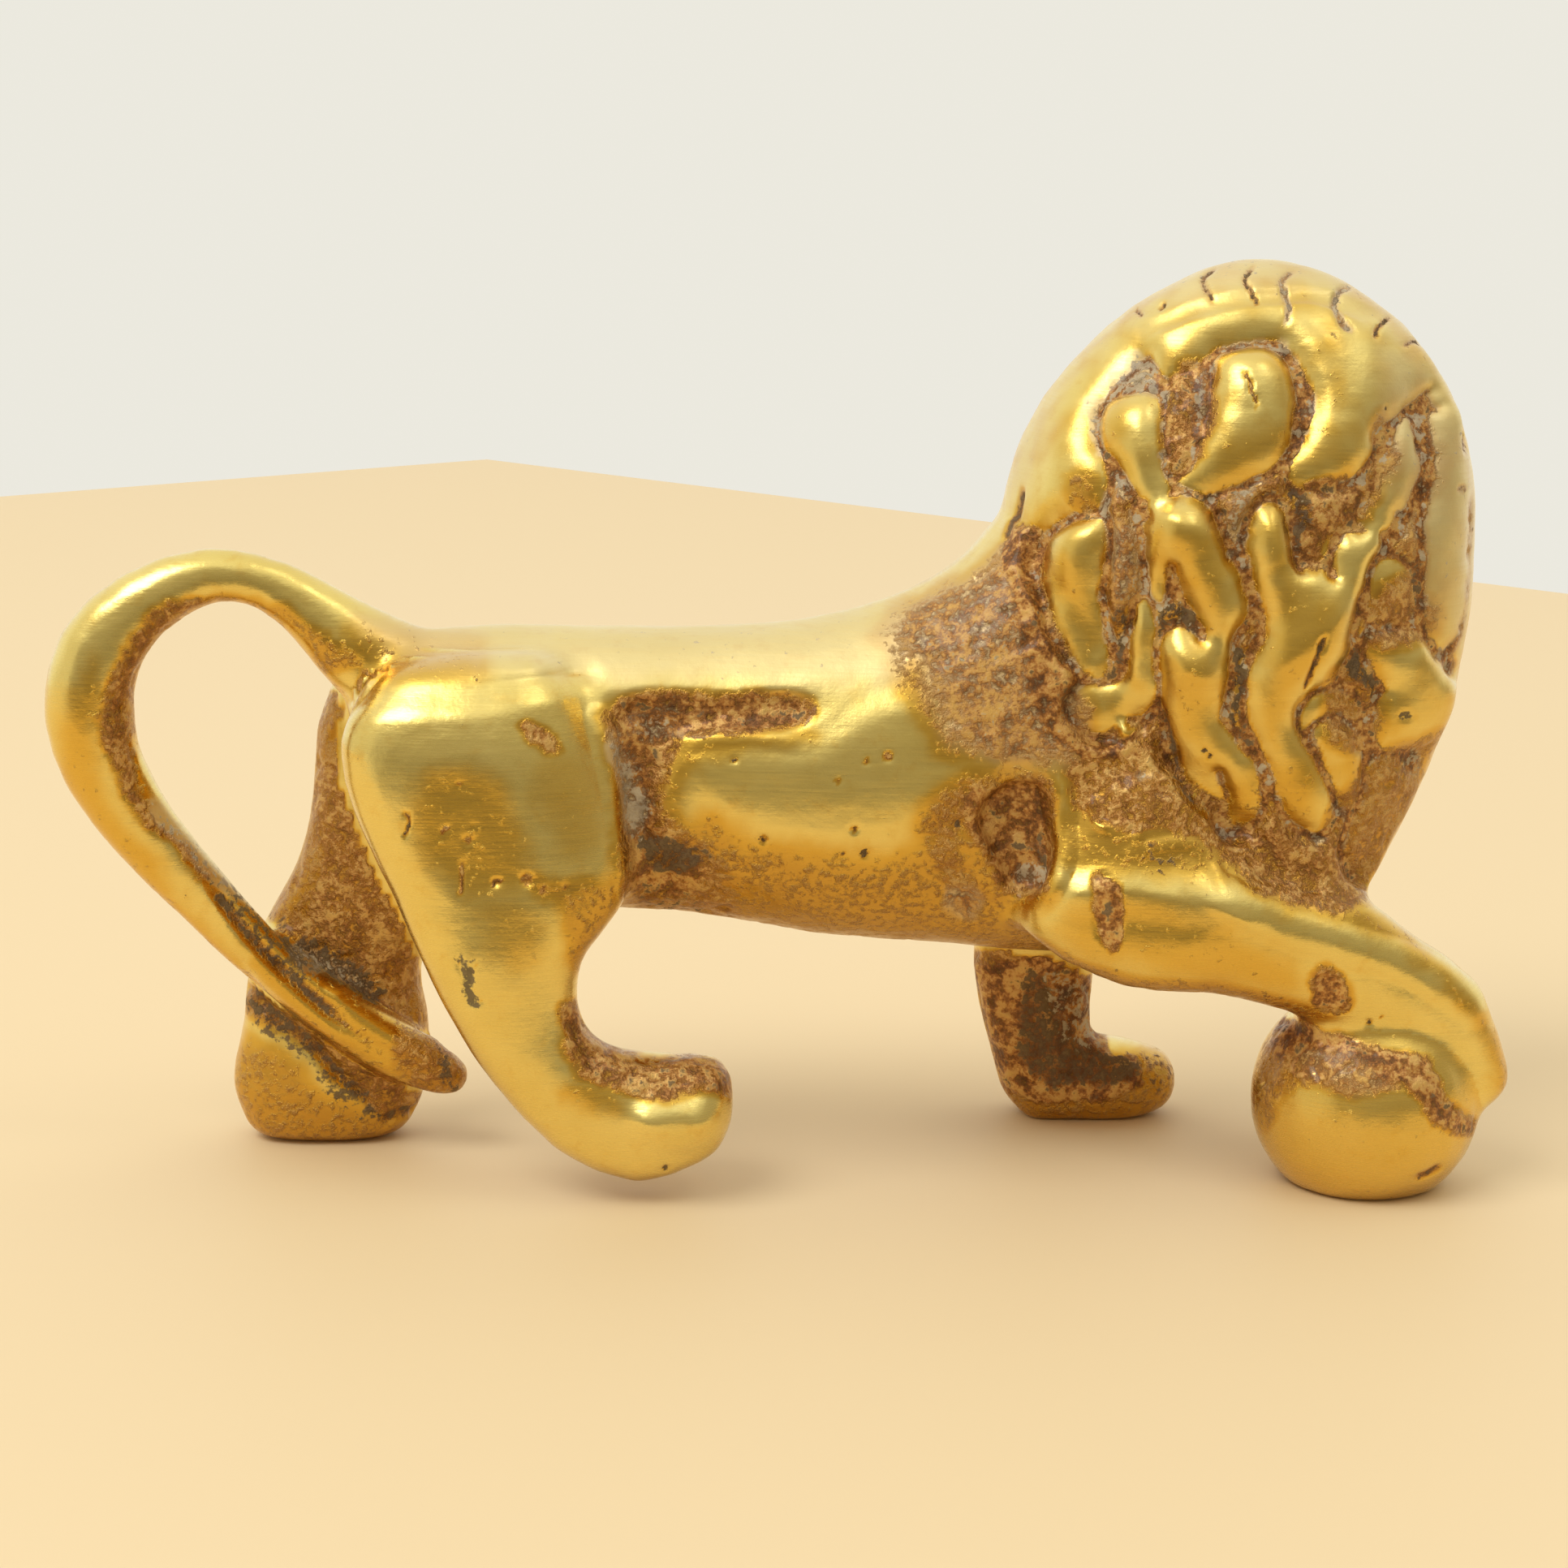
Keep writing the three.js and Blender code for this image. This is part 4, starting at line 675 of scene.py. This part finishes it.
PALE_PATCHES = [
    # Hind legs and tail
    ("tail", 0.6, 0.4, [(190, 985), (212, 1000), (250, 1050), (300, 1090), (335, 1112), (300, 1112),
        (250, 1078), (208, 1035)]),
    ("left_hind_leg tail", 0.55, 0.4, [(360, 1165), (400, 1180), (440, 1200), (450, 1220), (400, 1205),
        (365, 1190)]),
    # Body and neck
    # Painted reflection and sheen: the pale film along the back and upper flank partly stands for wall and
    # spread lamp light on the tops, partly rougher satin
    ("", 0.26, 1.5, [(440, 755), (560, 765), (900, 760), (1110, 735), (1130, 800), (1090, 850),
        (1010, 850), (900, 842), (780, 846), (700, 840), (600, 820), (470, 800)]),
    ("", 0.3, 1.5, [(1120, 745), (1200, 710), (1250, 660), (1275, 740), (1340, 880), (1330, 930),
        (1290, 950), (1210, 930), (1165, 905), (1155, 860), (1130, 820), (1090, 790)]),
    ("", 0.8, 0.5, [(745, 915), (765, 905), (790, 960), (800, 1000), (790, 1040), (770, 1020), (760, 960)]),
    ("", 0.5, 0.4, [(780, 880), (830, 875), (835, 905), (800, 915), (775, 900)]),
    # Mane and face
    # Painted reflection: the crest's pale film partly stands for the pale wall seen at grazing angles
    ("", 0.36, 2, [(1260, 600), (1300, 480), (1380, 400), (1450, 375), (1560, 358), (1650, 370),
        (1740, 430), (1800, 500), (1860, 500), (1800, 300), (1560, 240), (1300, 300), (1180, 600)]),
    ("", 0.28, 2, [(1700, 440), (1760, 450), (1830, 560), (1850, 700), (1830, 800), (1780, 800),
        (1750, 700), (1730, 620), (1700, 540)]),
    ("", 0.75, 0.4, [(1380, 440), (1398, 430), (1412, 445), (1425, 470), (1400, 474), (1372, 476),
        (1355, 488), (1350, 478)]),
    ("", 0.6, 0.3, [(1340, 485), (1348, 485), (1350, 540), (1342, 560), (1336, 520)]),
    ("", 0.7, 0.3, [(1365, 578), (1378, 582), (1390, 605), (1375, 605)]),
    ("", 0.65, 0.4, [(1476, 450), (1495, 425), (1530, 418), (1500, 432), (1492, 455), (1485, 500),
        (1470, 530), (1466, 500)]),
    ("", 0.4, 0.4, [(1355, 640), (1400, 640), (1402, 700), (1395, 740), (1372, 760), (1366, 700)]),
    ("", 0.6, 0.35, [(1568, 412), (1590, 416), (1608, 450), (1612, 500), (1600, 530), (1602, 480),
        (1592, 440)]),
    ("", 0.6, 0.35, [(1530, 600), (1550, 600), (1548, 620), (1542, 650), (1532, 690), (1520, 680),
        (1515, 640)]),
    # Forelegs and ball
    ("", 0.35, 0.5, [(1170, 1095), (1195, 1092), (1212, 1110), (1205, 1132), (1180, 1130), (1166, 1112)]),
    ("", 0.22, 1.5, [(1600, 1270), (1700, 1290), (1730, 1330), (1690, 1350), (1620, 1330), (1590, 1300)]),
    ("", 0.75, 0.25, [(1252, 1072), (1268, 1066), (1274, 1080), (1264, 1094), (1250, 1090)]),
    ("left_foreleg", 0.6, 0.4, [(1290, 1205), (1350, 1215), (1355, 1290), (1320, 1300), (1300, 1260)]),
]

# Pits: where, radius in pixels, depth in millimetres, and what fills them
PITS = [
    (1067, 937, 4, 0.14, "patina"), (1093, 932, 6, 0.14, "patina"), (1033, 962, 4, 0.12, "patina"),
    (905, 936, 4, 0.12, "dark"), (1053, 1020, 5, 0.2, "dark"), (941, 1033, 6, 0.16, "dark"),
    (1065, 1052, 5, 0.2, "dark"), (1040, 1052, 4, 0.12, "dark"), (1181, 1015, 6, 0.18, "dark"),
    (565, 966, 3, 0.1, "patina"), (577, 1036, 5, 0.14, "patina"), (650, 1084, 8, 0.14, "patina"),
    (668, 1098, 5, 0.12, "patina"), (697, 1092, 4, 0.12, "patina"), (613, 1090, 6, 0.12, "dark"),
    (1483, 928, 5, 0.15, "dark"), (1490, 935, 5, 0.15, "dark"), (1490, 615, 7, 0.25, "dark"),
    (1508, 632, 6, 0.25, "dark"), (1735, 884, 7, 0.12, "dark"), (820, 1439, 5, 0.15, "dark"),
    (1688, 1260, 5, 0.12, "dark"), (1703, 1255, 3, 0.1, "dark"), (1700, 1318, 6, 0.12, "patina"),
    (1720, 1330, 5, 0.1, "patina"), (1340, 835, 5, 0.15, "patina"), (1798, 602, 5, 0.1, "patina"),
    (1713, 499, 3, 0.1, "dark"), (583, 1020, 3, 0.1, "dark"), (1432, 557, 7, 0.2, "pale"),
    (1440, 530, 5, 0.15, "patina"), (1450, 530, 5, 0.15, "patina"), (1405, 955, 7, 0.12, "pale"),
    (1356, 1010, 6, 0.12, "patina"), (1394, 1020, 5, 0.12, "patina"),
]

# Grid of the sketch plane on which the locks swell
LOCK_CELL = 0.12
LOCK_GRID_LOW = np.array([8.0, 13.0])
LOCK_GRID_CELLS = (310, 360)

# Locks: how high they stand, how far they grow past their outlines, how wide they curve down to
# their rims, how much higher they stand at the top, and how far they lie apart or overlap
LOCK_RISE = 1.4
LOCK_GROWTH = 0.07
LOCK_SHOULDER = 1.25
LOCK_LEAN = 0.42
LOCK_GAP = 0.35
LOCK_OVERLAP = 0.2

# Crevices beside the locks, and the low ground that rises again between them
CREVICE = 0.5
FILL_HEIGHT = 1.0
FILL_SHOULDER = 0.4
MANE_GROUND = -1.05
MANE_FRONT_X = 40
MANE_SKIN = 0.8

# Two locks run on over the neck, where the mane's section ends: how far round their outlines,
# where along the body, and how strongly
FRINGE = 0.6
JOIN_X = 15.6
JOIN_HALF = 3.0
JOIN_SHARE = 0.85

# Pits: millimetres for each pixel of their radius
PIT_SCALE = 1.25 / 21

# What the camera sees: all that lies little further away than the nearest point of its cell
SIGHT_CELL = 0.4
SIGHT_SLACK = 1.5


def swell(region, shoulder, turns=400):
    """A smooth swelling over each region of the grid, from 0 at its rim towards 1 well inside it."""
    level = np.zeros(region.shape)
    inner = region[1:-1, 1:-1]
    pull = (LOCK_CELL / shoulder) ** 2
    for _ in range(turns):
        around = level[:-2, 1:-1] + level[2:, 1:-1] + level[1:-1, :-2] + level[1:-1, 2:]
        level[1:-1, 1:-1] = inner * (around + pull) / (4 + pull)
    return level


def blur(grid, turns):
    """The grid's values averaged with those of their neighbours, that many times."""
    for _ in range(turns):
        for axis in (0, 1):
            grid = 0.5 * grid + 0.25 * (np.roll(grid, 1, axis) + np.roll(grid, -1, axis))
    return grid


def sample(grid, at):
    """Values of the grid at points of the sketch plane."""
    place = np.clip((at - LOCK_GRID_LOW) / LOCK_CELL, 0, np.array(LOCK_GRID_CELLS) - 1.001)
    cell = place.astype(int)
    share = place - cell
    total = np.zeros(len(at))
    for corner in np.ndindex(2, 2):
        weight = np.prod(np.where(corner, share, 1 - share), axis=1)
        total += weight * grid[cell[:, 0] + corner[0], cell[:, 1] + corner[1]]
    return total


def wander(at, size, amount, seed):
    """The points moved a little, so that what is drawn with them has an irregular edge."""
    flat = np.stack([at[:, 0], at[:, 1], np.zeros(len(at))], axis=1)
    return at + amount * np.stack([noise(flat, size, seed, 2), noise(flat, size, seed + 5, 2)], axis=1)


def lock_grids():
    """For each cell: depth inside its lock, lift, and how far it is crevice or open ground."""
    at = LOCK_GRID_LOW + LOCK_CELL * np.stack(np.indices(LOCK_GRID_CELLS), axis=-1).reshape(-1, 2)
    at = wander(at, 1.6, 0.14, 71)
    deepest = np.full(len(at), -OUTLINE_REACH)
    second = deepest.copy()
    height = np.ones(len(at))
    for share, chosen in LOCKS:
        outline = from_photo(chosen)
        depth = depth_inside(at, outline)
        rise = round(share * LOCK_RISE, 2)
        low, high = outline[:, 1].min(), outline[:, 1].max()
        down = np.clip((high - at[:, 1]) / (high - low), 0, 1)
        height = np.where(depth > deepest, rise * (1 + LOCK_LEAN * (1 - 2 * down)), height)
        np.maximum(second, np.minimum(deepest, depth), out=second)
        np.maximum(deepest, depth, out=deepest)
    apart = (deepest - second > LOCK_GAP) | (second > LOCK_OVERLAP)
    deepest, height, apart = (grid.reshape(LOCK_GRID_CELLS) for grid in (deepest, height, apart))
    lock = (deepest > -LOCK_GROWTH) & apart
    ground = deepest < -LOCK_GROWTH - CREVICE
    lift = blur(height, 6) * swell(lock, LOCK_SHOULDER) + FILL_HEIGHT * swell(ground, FILL_SHOULDER)
    return deepest, blur(lift, 1), blur((~lock & ~ground).astype(float), 2), blur(ground.astype(float), 3)


def seen_share(facing, sketch, far):
    """1 where a point of the skin faces the camera with nothing in front of it, else 0."""
    cell = np.floor((sketch - sketch.min(0)) / SIGHT_CELL).astype(int)
    cell = cell[:, 0] * 1000 + cell[:, 1]
    front = np.full(cell.max() + 1, 1e9)
    np.minimum.at(front, cell, far)
    return net.smooth(step(facing, 0.0, 0.15) * (far < front[cell] + SIGHT_SLACK), 2)


normals = point_normals(skin, quads)
sketch, far = to_sketch(skin)
line_of_sight = CAMERA_PLACE - skin
line_of_sight /= np.linalg.norm(line_of_sight, axis=1)[:, None]
facing = (normals * line_of_sight).sum(1)
seen = seen_share(facing, sketch, far)

# The points of each section
part = {}
for k, name in enumerate(names):
    part[name] = np.zeros(len(skin), bool)
    part[name][quads[section == k].ravel()] = True

cover = {filling: np.zeros(len(skin)) for filling in ("patina", "dark", "pale")}


def lay(filling, share):
    """Covers the skin with that share of a filling, wherever it has less."""
    np.maximum(cover[filling], share, out=cover[filling])


# Locks stand on the mane's lowered ground
lock_depth, lift, crevices, ground = lock_grids()
near_lock = (sample(lock_depth, sketch) > -FRINGE) & (seen > 0.5)
beside = (part["torso"] | part["mane"]) & near_lock & (np.abs(sketch[:, 0] - JOIN_X) < JOIN_HALF)
on_mane = net.smooth(np.maximum(part["mane"] & (mane_shell(skin) > MANE_SKIN), JOIN_SHARE * beside), 3)
side = seen * on_mane * step(facing, 0.05, 0.4)
moved = side * (MANE_GROUND * step(MANE_FRONT_X - skin[:, 0], 0, 6) + sample(lift, sketch))
joined = np.clip(2 * net.smooth((beside & part["torso"]).astype(float), 20), 0, 1)
moved += joined * ((net.smooth(skin, 60) - skin) * normals).sum(1)
crevice = side * sample(crevices, sketch)

# Grooves, shallower towards their ends, and how much of each filling gathers in them
GROOVE_COVER = {
    "": {},
    "dark": {"dark": 0.75, "patina": 0.9},
    "pale": {"pale": 0.8, "patina": 0.9},
    "patina": {"patina": 1.0},
}
for depth, half, filling, line in GROOVES:
    reach, along = line_distance(sketch, catmull(from_photo(line), 6))
    ends = np.clip(6 * np.minimum(along, 1 - along) + 0.35, 0, 1)
    cut = seen * ends * np.clip(1 - (reach / half) ** 2, 0, 1)
    moved -= depth * cut
    for gathered, share in GROOVE_COVER[filling].items():
        lay(gathered, share * cut)

# Forms, pits and patches
for amount, softness, outline in FORMS:
    moved += amount * seen * step(depth_inside(sketch, from_photo(outline)), -softness / 3, softness)
for across, down, size, depth, filling in PITS:
    reach = np.linalg.norm(sketch - from_photo([(across, down)]), axis=1)
    radius = round(size * PIT_SCALE, 2)
    moved -= depth * seen * np.clip(1 - (reach / radius) ** 2, 0, 1)
    lay(filling, 0.7 * seen * step(reach, radius * 1.1, radius * 0.5))
drawn = wander(wander(sketch, 3.2, 0.5, 81), 0.9, 0.2, 91)
for filling, patches in (("patina", PATINA_PATCHES), ("dark", DARK_PATCHES), ("pale", PALE_PATCHES)):
    for where, amount, softness, outline in patches:
        share = amount * seen * step(depth_inside(drawn, from_photo(outline)), -softness, softness)
        if where:
            share = share * np.any([part[name] for name in where.split()], axis=0)
        lay(filling, share)

# Patina in the mane's crevices, on its low parts and in every hollow
lay("patina", np.clip(1.3 * crevice, 0, 1))
lay("patina", 0.8 * side * sample(ground, sketch))
lay("patina", on_mane * step(skin[:, 2], 36, 22) * (0.2 + 0.2 * noise(skin, 4, 15, 2)))
lay("patina", on_mane * (0.12 + 0.2 * noise(skin, 2.4, 17, 2)))
carved = skin + moved[:, None] * flow
for turns, low, high in ((6, 0.02, 0.09), (30, 0.05, 0.2)):
    hollow = ((net.smooth(carved, turns) - carved) * normals).sum(1)
    lay("patina", 0.8 * step(hollow, low, high))

# The hidden side and the underside: blotches of patina, and a pale film on what faces up, partly dust and
# partly painted sheen that makes the tops paler
away = 1 - step(facing, -0.1, 0.25)
lay("patina", away * (0.1 + 0.42 * step(noise(skin, 7, 11, 3), -0.3, 0.7)))
# Painted sheen: tops made paler as light from above would, together with dust
lay("pale", 0.32 * away * step(normals[:, 2], 0.1, 0.7))
blotched = 0.8 + 0.4 * noise(skin, 5, 13, 3)
for name, amount in (("left_hind_leg", 0.45), ("left_foreleg", 0.5)):
    lay("patina", amount * blotched * net.smooth(part[name].astype(float), 40) * away)
lay("patina", 0.5 * step(-normals[:, 2], 0.3, 0.8) * step(skin[:, 2], 8, 12))

# Deposits gather where the patina is deepest
speckle = noise(skin, 1.1, 31, 3)
lay("dark", step(cover["patina"], 0.6, 1) * step(speckle, 0.1, 0.6) * 0.6)
lay("dark", 0.6 * crevice * step(speckle, 0.05, 0.45))
lay("pale", 0.85 * crevice * step(-speckle, 0.0, 0.35))

# Relief of the casting: rough where there is patina, faint ripples elsewhere
rough_share = step(cover["patina"], 0.3, 0.8)
moved += rough_share * (0.06 * noise(skin, 0.8, 41, 2) + 0.08 * noise(skin, 1.9, 43, 2))
moved += 0.05 * noise(skin, 5, 47, 2) + 0.018 * noise(skin, 1.6, 53, 2)
moved += on_mane * (0.05 * noise(skin, 2.6, 57, 2))
moved -= 0.13 * rough_share * step(noise(skin, 1.0, 59), 0.25, 0.6)

skin = net.smooth(skin + moved[:, None] * flow, 1, 0.3)
skin = np.clip(skin, BOX_LOW + BOX_MARGIN, BOX_HIGH - BOX_MARGIN)
skin[:, 2] = np.maximum(skin[:, 2], 0)
normals = point_normals(skin, quads)


class Nodes:
    """Makes and links the nodes of one shader tree."""

    def __init__(self, owner):
        owner.use_nodes = True
        self.tree = owner.node_tree

    def add(self, kind, **settings):
        made = self.tree.nodes.new(kind)
        for key, value in settings.items():
            setattr(made, key, value)
        return made

    def put(self, given, socket):
        """Sets a socket to a number or a colour, or links it to what gives its value."""
        if isinstance(given, tuple):
            socket.default_value = (*given, 1)
        elif isinstance(given, (int, float)):
            socket.default_value = given
        else:
            self.tree.links.new(given, socket)

    def maths(self, kind, first, second):
        made = self.add("ShaderNodeMath", operation=kind)
        self.put(first, made.inputs[0])
        self.put(second, made.inputs[1])
        return made.outputs[0]

    def sum(self, first, *others):
        for other in others:
            first = self.maths("ADD", first, other)
        return first

    def times(self, first, second):
        return self.maths("MULTIPLY", first, second)

    def less(self, first, second):
        return self.maths("SUBTRACT", first, second)

    def value(self, source, low, high, to_low=0.0, to_high=1.0):
        made = self.add("ShaderNodeMapRange", interpolation_type="SMOOTHSTEP")
        for key, number in zip(("From Min", "From Max", "To Min", "To Max"), (low, high, to_low, to_high)):
            made.inputs[key].default_value = number
        self.put(source, made.inputs["Value"])
        return made.outputs["Result"]

    def mixed(self, share, first, second):
        made = self.add("ShaderNodeMix", data_type="RGBA")
        for key, given in ((0, share), (6, first), (7, second)):
            self.put(given, made.inputs[key])
        return made.outputs[2]

    def ramp(self, source, *stops):
        made = self.add("ShaderNodeValToRGB")
        for k, (at, colour) in enumerate(stops):
            stop = made.color_ramp.elements[k] if k < 2 else made.color_ramp.elements.new(at)
            stop.position = at
            stop.color = (*colour, 1)
        self.put(source, made.inputs["Fac"])
        return made.outputs["Color"]

    def grain(self, scale, detail, rough, stretch=(1, 1, 1)):
        mapping = self.add("ShaderNodeMapping")
        mapping.inputs["Scale"].default_value = stretch
        self.put(self.add("ShaderNodeTexCoord").outputs["Object"], mapping.inputs["Vector"])
        made = self.add("ShaderNodeTexNoise")
        made.inputs["Scale"].default_value = scale
        made.inputs["Detail"].default_value = detail
        made.inputs["Roughness"].default_value = rough
        self.put(mapping.outputs["Vector"], made.inputs["Vector"])
        return made.outputs["Fac"]

    def mark(self, filling):
        return self.add("ShaderNodeAttribute", attribute_name=filling).outputs["Fac"]


# Materials
# The pale film's colour: partly dust, partly painted sheen, a paler reflection painted on tops and grazing
# edges
FILM_AND_SHEEN = (0.78, 0.68, 0.44)
STAIN = (0.70, 0.42, 0.06)
LIGHT_STAIN = (0.70, 0.40, 0.03)
DEEP_STAIN = (0.46, 0.21, 0.03)
FLAKE = (0.34, 0.12, 0.016)
PIT_DEPTH = 0.00028


def brass_colour(nodes, middle, fine, patina, dark, chalk, film_and_sheen):
    """From the rubbed metal up: stain, a pale film that is partly dust and partly painted sheen, red-brown
    patina, dark crust and whitish chalk.
    """
    metal = nodes.ramp(nodes.grain(160, 3, 0.6), (0.25, (0.79, 0.60, 0.16)), (0.75, (0.87, 0.69, 0.22)))
    mark = nodes.mark("patina")
    stained = nodes.mixed(nodes.value(middle, 0.5, 0.75, 0, 0.4), metal, STAIN)
    stained = nodes.mixed(nodes.value(mark, 0, 0.35, 0, 0.85), stained, LIGHT_STAIN)
    stained = nodes.mixed(nodes.value(mark, 0.25, 0.7, 0, 0.75), stained, DEEP_STAIN)
    rust = nodes.ramp(
        nodes.value(nodes.sum(nodes.times(fine, 0.4), nodes.times(middle, 0.6)), 0.34, 0.66),
        (0.0, (0.06, 0.02, 0.003)),
        (1.0, (0.70, 0.44, 0.12)),
        (0.3, (0.24, 0.09, 0.016)),
        (0.5, (0.46, 0.20, 0.042)),
        (0.7, (0.66, 0.38, 0.11)),
    )
    rust = nodes.mixed(nodes.value(mark, 0.45, 0.75, 0.6, 0), rust, FLAKE)
    crust = nodes.ramp(fine, (0.3, (0.03, 0.018, 0.008)), (0.7, (0.17, 0.11, 0.05)))
    chalky = nodes.ramp(middle, (0.3, (0.32, 0.24, 0.14)), (0.7, (0.66, 0.56, 0.38)))
    # Painted sheen: the pale film, partly dust, paints a paler reflection wherever it lies
    colour = nodes.mixed(film_and_sheen, stained, FILM_AND_SHEEN)
    for share, layer in ((patina, rust), (dark, crust), (chalk, chalky)):
        colour = nodes.mixed(share, colour, layer)
    return colour


def brass(name, rub):
    """Old cast brass: rubbed metal, patina in the hollows, dark and whitish deposits."""
    material = bpy.data.materials.new(name)
    nodes = Nodes(material)
    shader = material.node_tree.nodes["Principled BSDF"].inputs
    middle = nodes.grain(750, 6, 0.65)
    fine = nodes.grain(2300, 4, 0.6)
    brushed = nodes.grain(320, 3, 0.6, (1, 1, 26))

    # How far the marks reach: their edges break up into speckles, and some spots stay bare
    speckle = nodes.sum(nodes.times(middle, 0.5), nodes.times(fine, 1.1))
    scatter = nodes.less(nodes.times(speckle, 1.3), 1.04)
    patina = nodes.value(nodes.sum(nodes.mark("patina"), scatter), 0.42, 0.92)
    crumbs = nodes.less(nodes.times(speckle, 2.0), 1.65)
    dark = nodes.value(nodes.sum(nodes.mark("dark"), crumbs), 0.45, 0.75, 0, 0.9)
    dust = nodes.less(nodes.times(fine, 2.2), 1.1)
    chalk = nodes.value(nodes.sum(nodes.mark("pale"), dust), 0.55, 0.8, 0, 0.9)
    # The pale film where pale is marked: partly dust and rougher satin, partly painted sheen on tops
    film_and_sheen = nodes.value(nodes.mark("pale"), 0.03, 0.35, 0, 0.55)
    nodes.put(brass_colour(nodes, middle, fine, patina, dark, chalk, film_and_sheen), shader["Base Color"])

    # What covers the metal takes its shine
    bare = nodes.times(nodes.less(1.0, nodes.times(patina, 0.45)), nodes.less(1.0, dark))
    nodes.put(nodes.times(bare, nodes.less(1.0, chalk)), shader["Metallic"])
    worn = nodes.value(brushed, 0.3, 0.7, rub - 0.04, rub + 0.06)
    for share, rough in ((patina, 0.18), (dark, 0.3), (film_and_sheen, 0.45), (chalk, 0.3)):
        worn = nodes.sum(worn, nodes.times(share, rough))
    nodes.put(worn, shader["Roughness"])
    nodes.put(nodes.times(bare, 0.45), shader["Coat Weight"])
    shader["Coat Roughness"].default_value = 0.2

    # Fine pits and brush lines
    pitted = nodes.sum(nodes.times(middle, 0.6), nodes.times(fine, 0.7))
    relief = nodes.times(pitted, nodes.sum(0.09, nodes.times(patina, 0.55)))
    bump = nodes.add("ShaderNodeBump")
    bump.inputs["Strength"].default_value = 1.0
    bump.inputs["Distance"].default_value = PIT_DEPTH
    nodes.put(nodes.sum(relief, nodes.times(brushed, 0.02)), bump.inputs["Height"])
    nodes.put(bump.outputs["Normal"], shader["Normal"])
    return material


ROUGHNESS = {"polished_brass": 0.26, "patinated_brass": 0.31}
FINISHES = {name: brass(name, rub) for name, rub in ROUGHNESS.items()}
POLISHED = ("right_hind_leg", "right_foreleg", "ball", "tail")
SLOTS = {name: "polished_brass" if name in POLISHED else "patinated_brass" for name in names}


def show(name, data):
    """Links an object with that data into the scene."""
    made = bpy.data.objects.new(name, data)
    bpy.context.scene.collection.objects.link(made)
    return made


# One piece for each section, cut from the skin along the sections' joints
for k, name in enumerate(names):
    used, local = np.unique(quads[section == k], return_inverse=True)
    mesh = bpy.data.meshes.new(name + "_cast")
    place = (skin[used] + SHIFT) / 1000
    mesh.from_pydata(place.tolist(), [], local.reshape(-1, 4).tolist())
    mesh.normals_split_custom_set_from_vertices(normals[used].tolist())
    for filling, share in cover.items():
        mesh.attributes.new(filling, "FLOAT", "POINT").data.foreach_set("value", share[used])
    piece = show(name + "_cast", mesh)
    piece.data.materials.append(FINISHES[SLOTS[name]])
    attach(piece, "root")
    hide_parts(name)

# Table: a wedge whose far corner lies behind the figure
TABLE = [(-0.0123, 0.409, 0), (-0.632, -0.078, 0), (0.4, -0.078, 0)]
TABLE_COLOUR = (0.82, 0.645, 0.385)

# Room: the colours round the table
LOW_ROOM = (0.30, 0.26, 0.19)
ROOM = (0.45, 0.40, 0.315)
LEFT_WALL = (0.78, 0.72, 0.58)
FAR_WALL = (1.0, 0.98, 0.9)
CEILING = (1.0, 0.98, 0.92)
WALL = (0.835, 0.815, 0.735)

# Lamps: place and size in metres, power in watts, and the point at which they aim
LAMPS = (
    ("overhead", (-0.58, -0.43, 0.94), (0.72, 0.45), 5.2),
    ("side", (0.42, -0.36, 0.92), (0.26, 0.26), 0.35),
)
LAMP_AIM = (0, 0, 0.02)


def table():
    """The pale top that the figure stands on."""
    material = bpy.data.materials.new("floor")
    material.use_nodes = True
    shader = material.node_tree.nodes["Principled BSDF"].inputs
    shader["Base Color"].default_value = (*TABLE_COLOUR, 1)
    shader["Roughness"].default_value = 0.6
    shader["Specular IOR Level"].default_value = 0.35
    mesh = bpy.data.meshes.new("floor")
    mesh.from_pydata(TABLE, [], [(0, 1, 2)])
    made = show("floor", mesh)
    made.data.materials.append(material)


def room():
    """A pale wall behind the figure, dimmer on the camera's side, under a bright ceiling."""
    world = bpy.data.worlds.new("studio")
    bpy.context.scene.world = world
    nodes = Nodes(world)
    axes = nodes.add("ShaderNodeSeparateXYZ")
    nodes.put(nodes.add("ShaderNodeTexCoord").outputs["Generated"], axes.inputs[0])
    colour = LOW_ROOM
    for axis, low, high, surface in (
        ("Z", -0.2, 0.25, ROOM),
        ("X", -0.6, -0.9, LEFT_WALL),
        ("Y", -0.1, 0.5, FAR_WALL),
        ("Z", 0.45, 0.8, CEILING),
    ):
        colour = nodes.mixed(nodes.value(axes.outputs[axis], low, high), colour, surface)
    colour = nodes.mixed(nodes.add("ShaderNodeLightPath").outputs["Is Camera Ray"], colour, WALL)
    background = world.node_tree.nodes["Background"].inputs
    nodes.put(colour, background["Color"])
    background["Strength"].default_value = 1.0


def softbox(name, place, size, power):
    """A rectangular lamp that points at the figure."""
    lamp = bpy.data.lights.new(name, "AREA")
    lamp.shape = "RECTANGLE"
    lamp.size, lamp.size_y = size
    lamp.energy = power
    made = show(name, lamp)
    made.location = place
    made.rotation_mode = "QUATERNION"
    made.rotation_quaternion = (Vector(LAMP_AIM) - Vector(place)).to_track_quat("-Z", "Y")


def camera():
    """The camera, at the place whose rays the sketch plane uses."""
    lens = bpy.data.cameras.new("camera")
    lens.lens = FOCAL
    lens.sensor_width = SENSOR
    lens.clip_start = 0.01
    viewer = show("camera", lens)
    turn = Matrix(np.stack([RIGHT, UP, -AHEAD], axis=1).tolist()).to_4x4()
    viewer.matrix_world = Matrix.Translation(Vector((CAMERA_PLACE + SHIFT) / 1000)) @ turn
    bpy.context.scene.camera = viewer


table()
room()
for lamp in LAMPS:
    softbox(*lamp)
camera()
bpy.context.scene.view_settings.view_transform = "Standard"
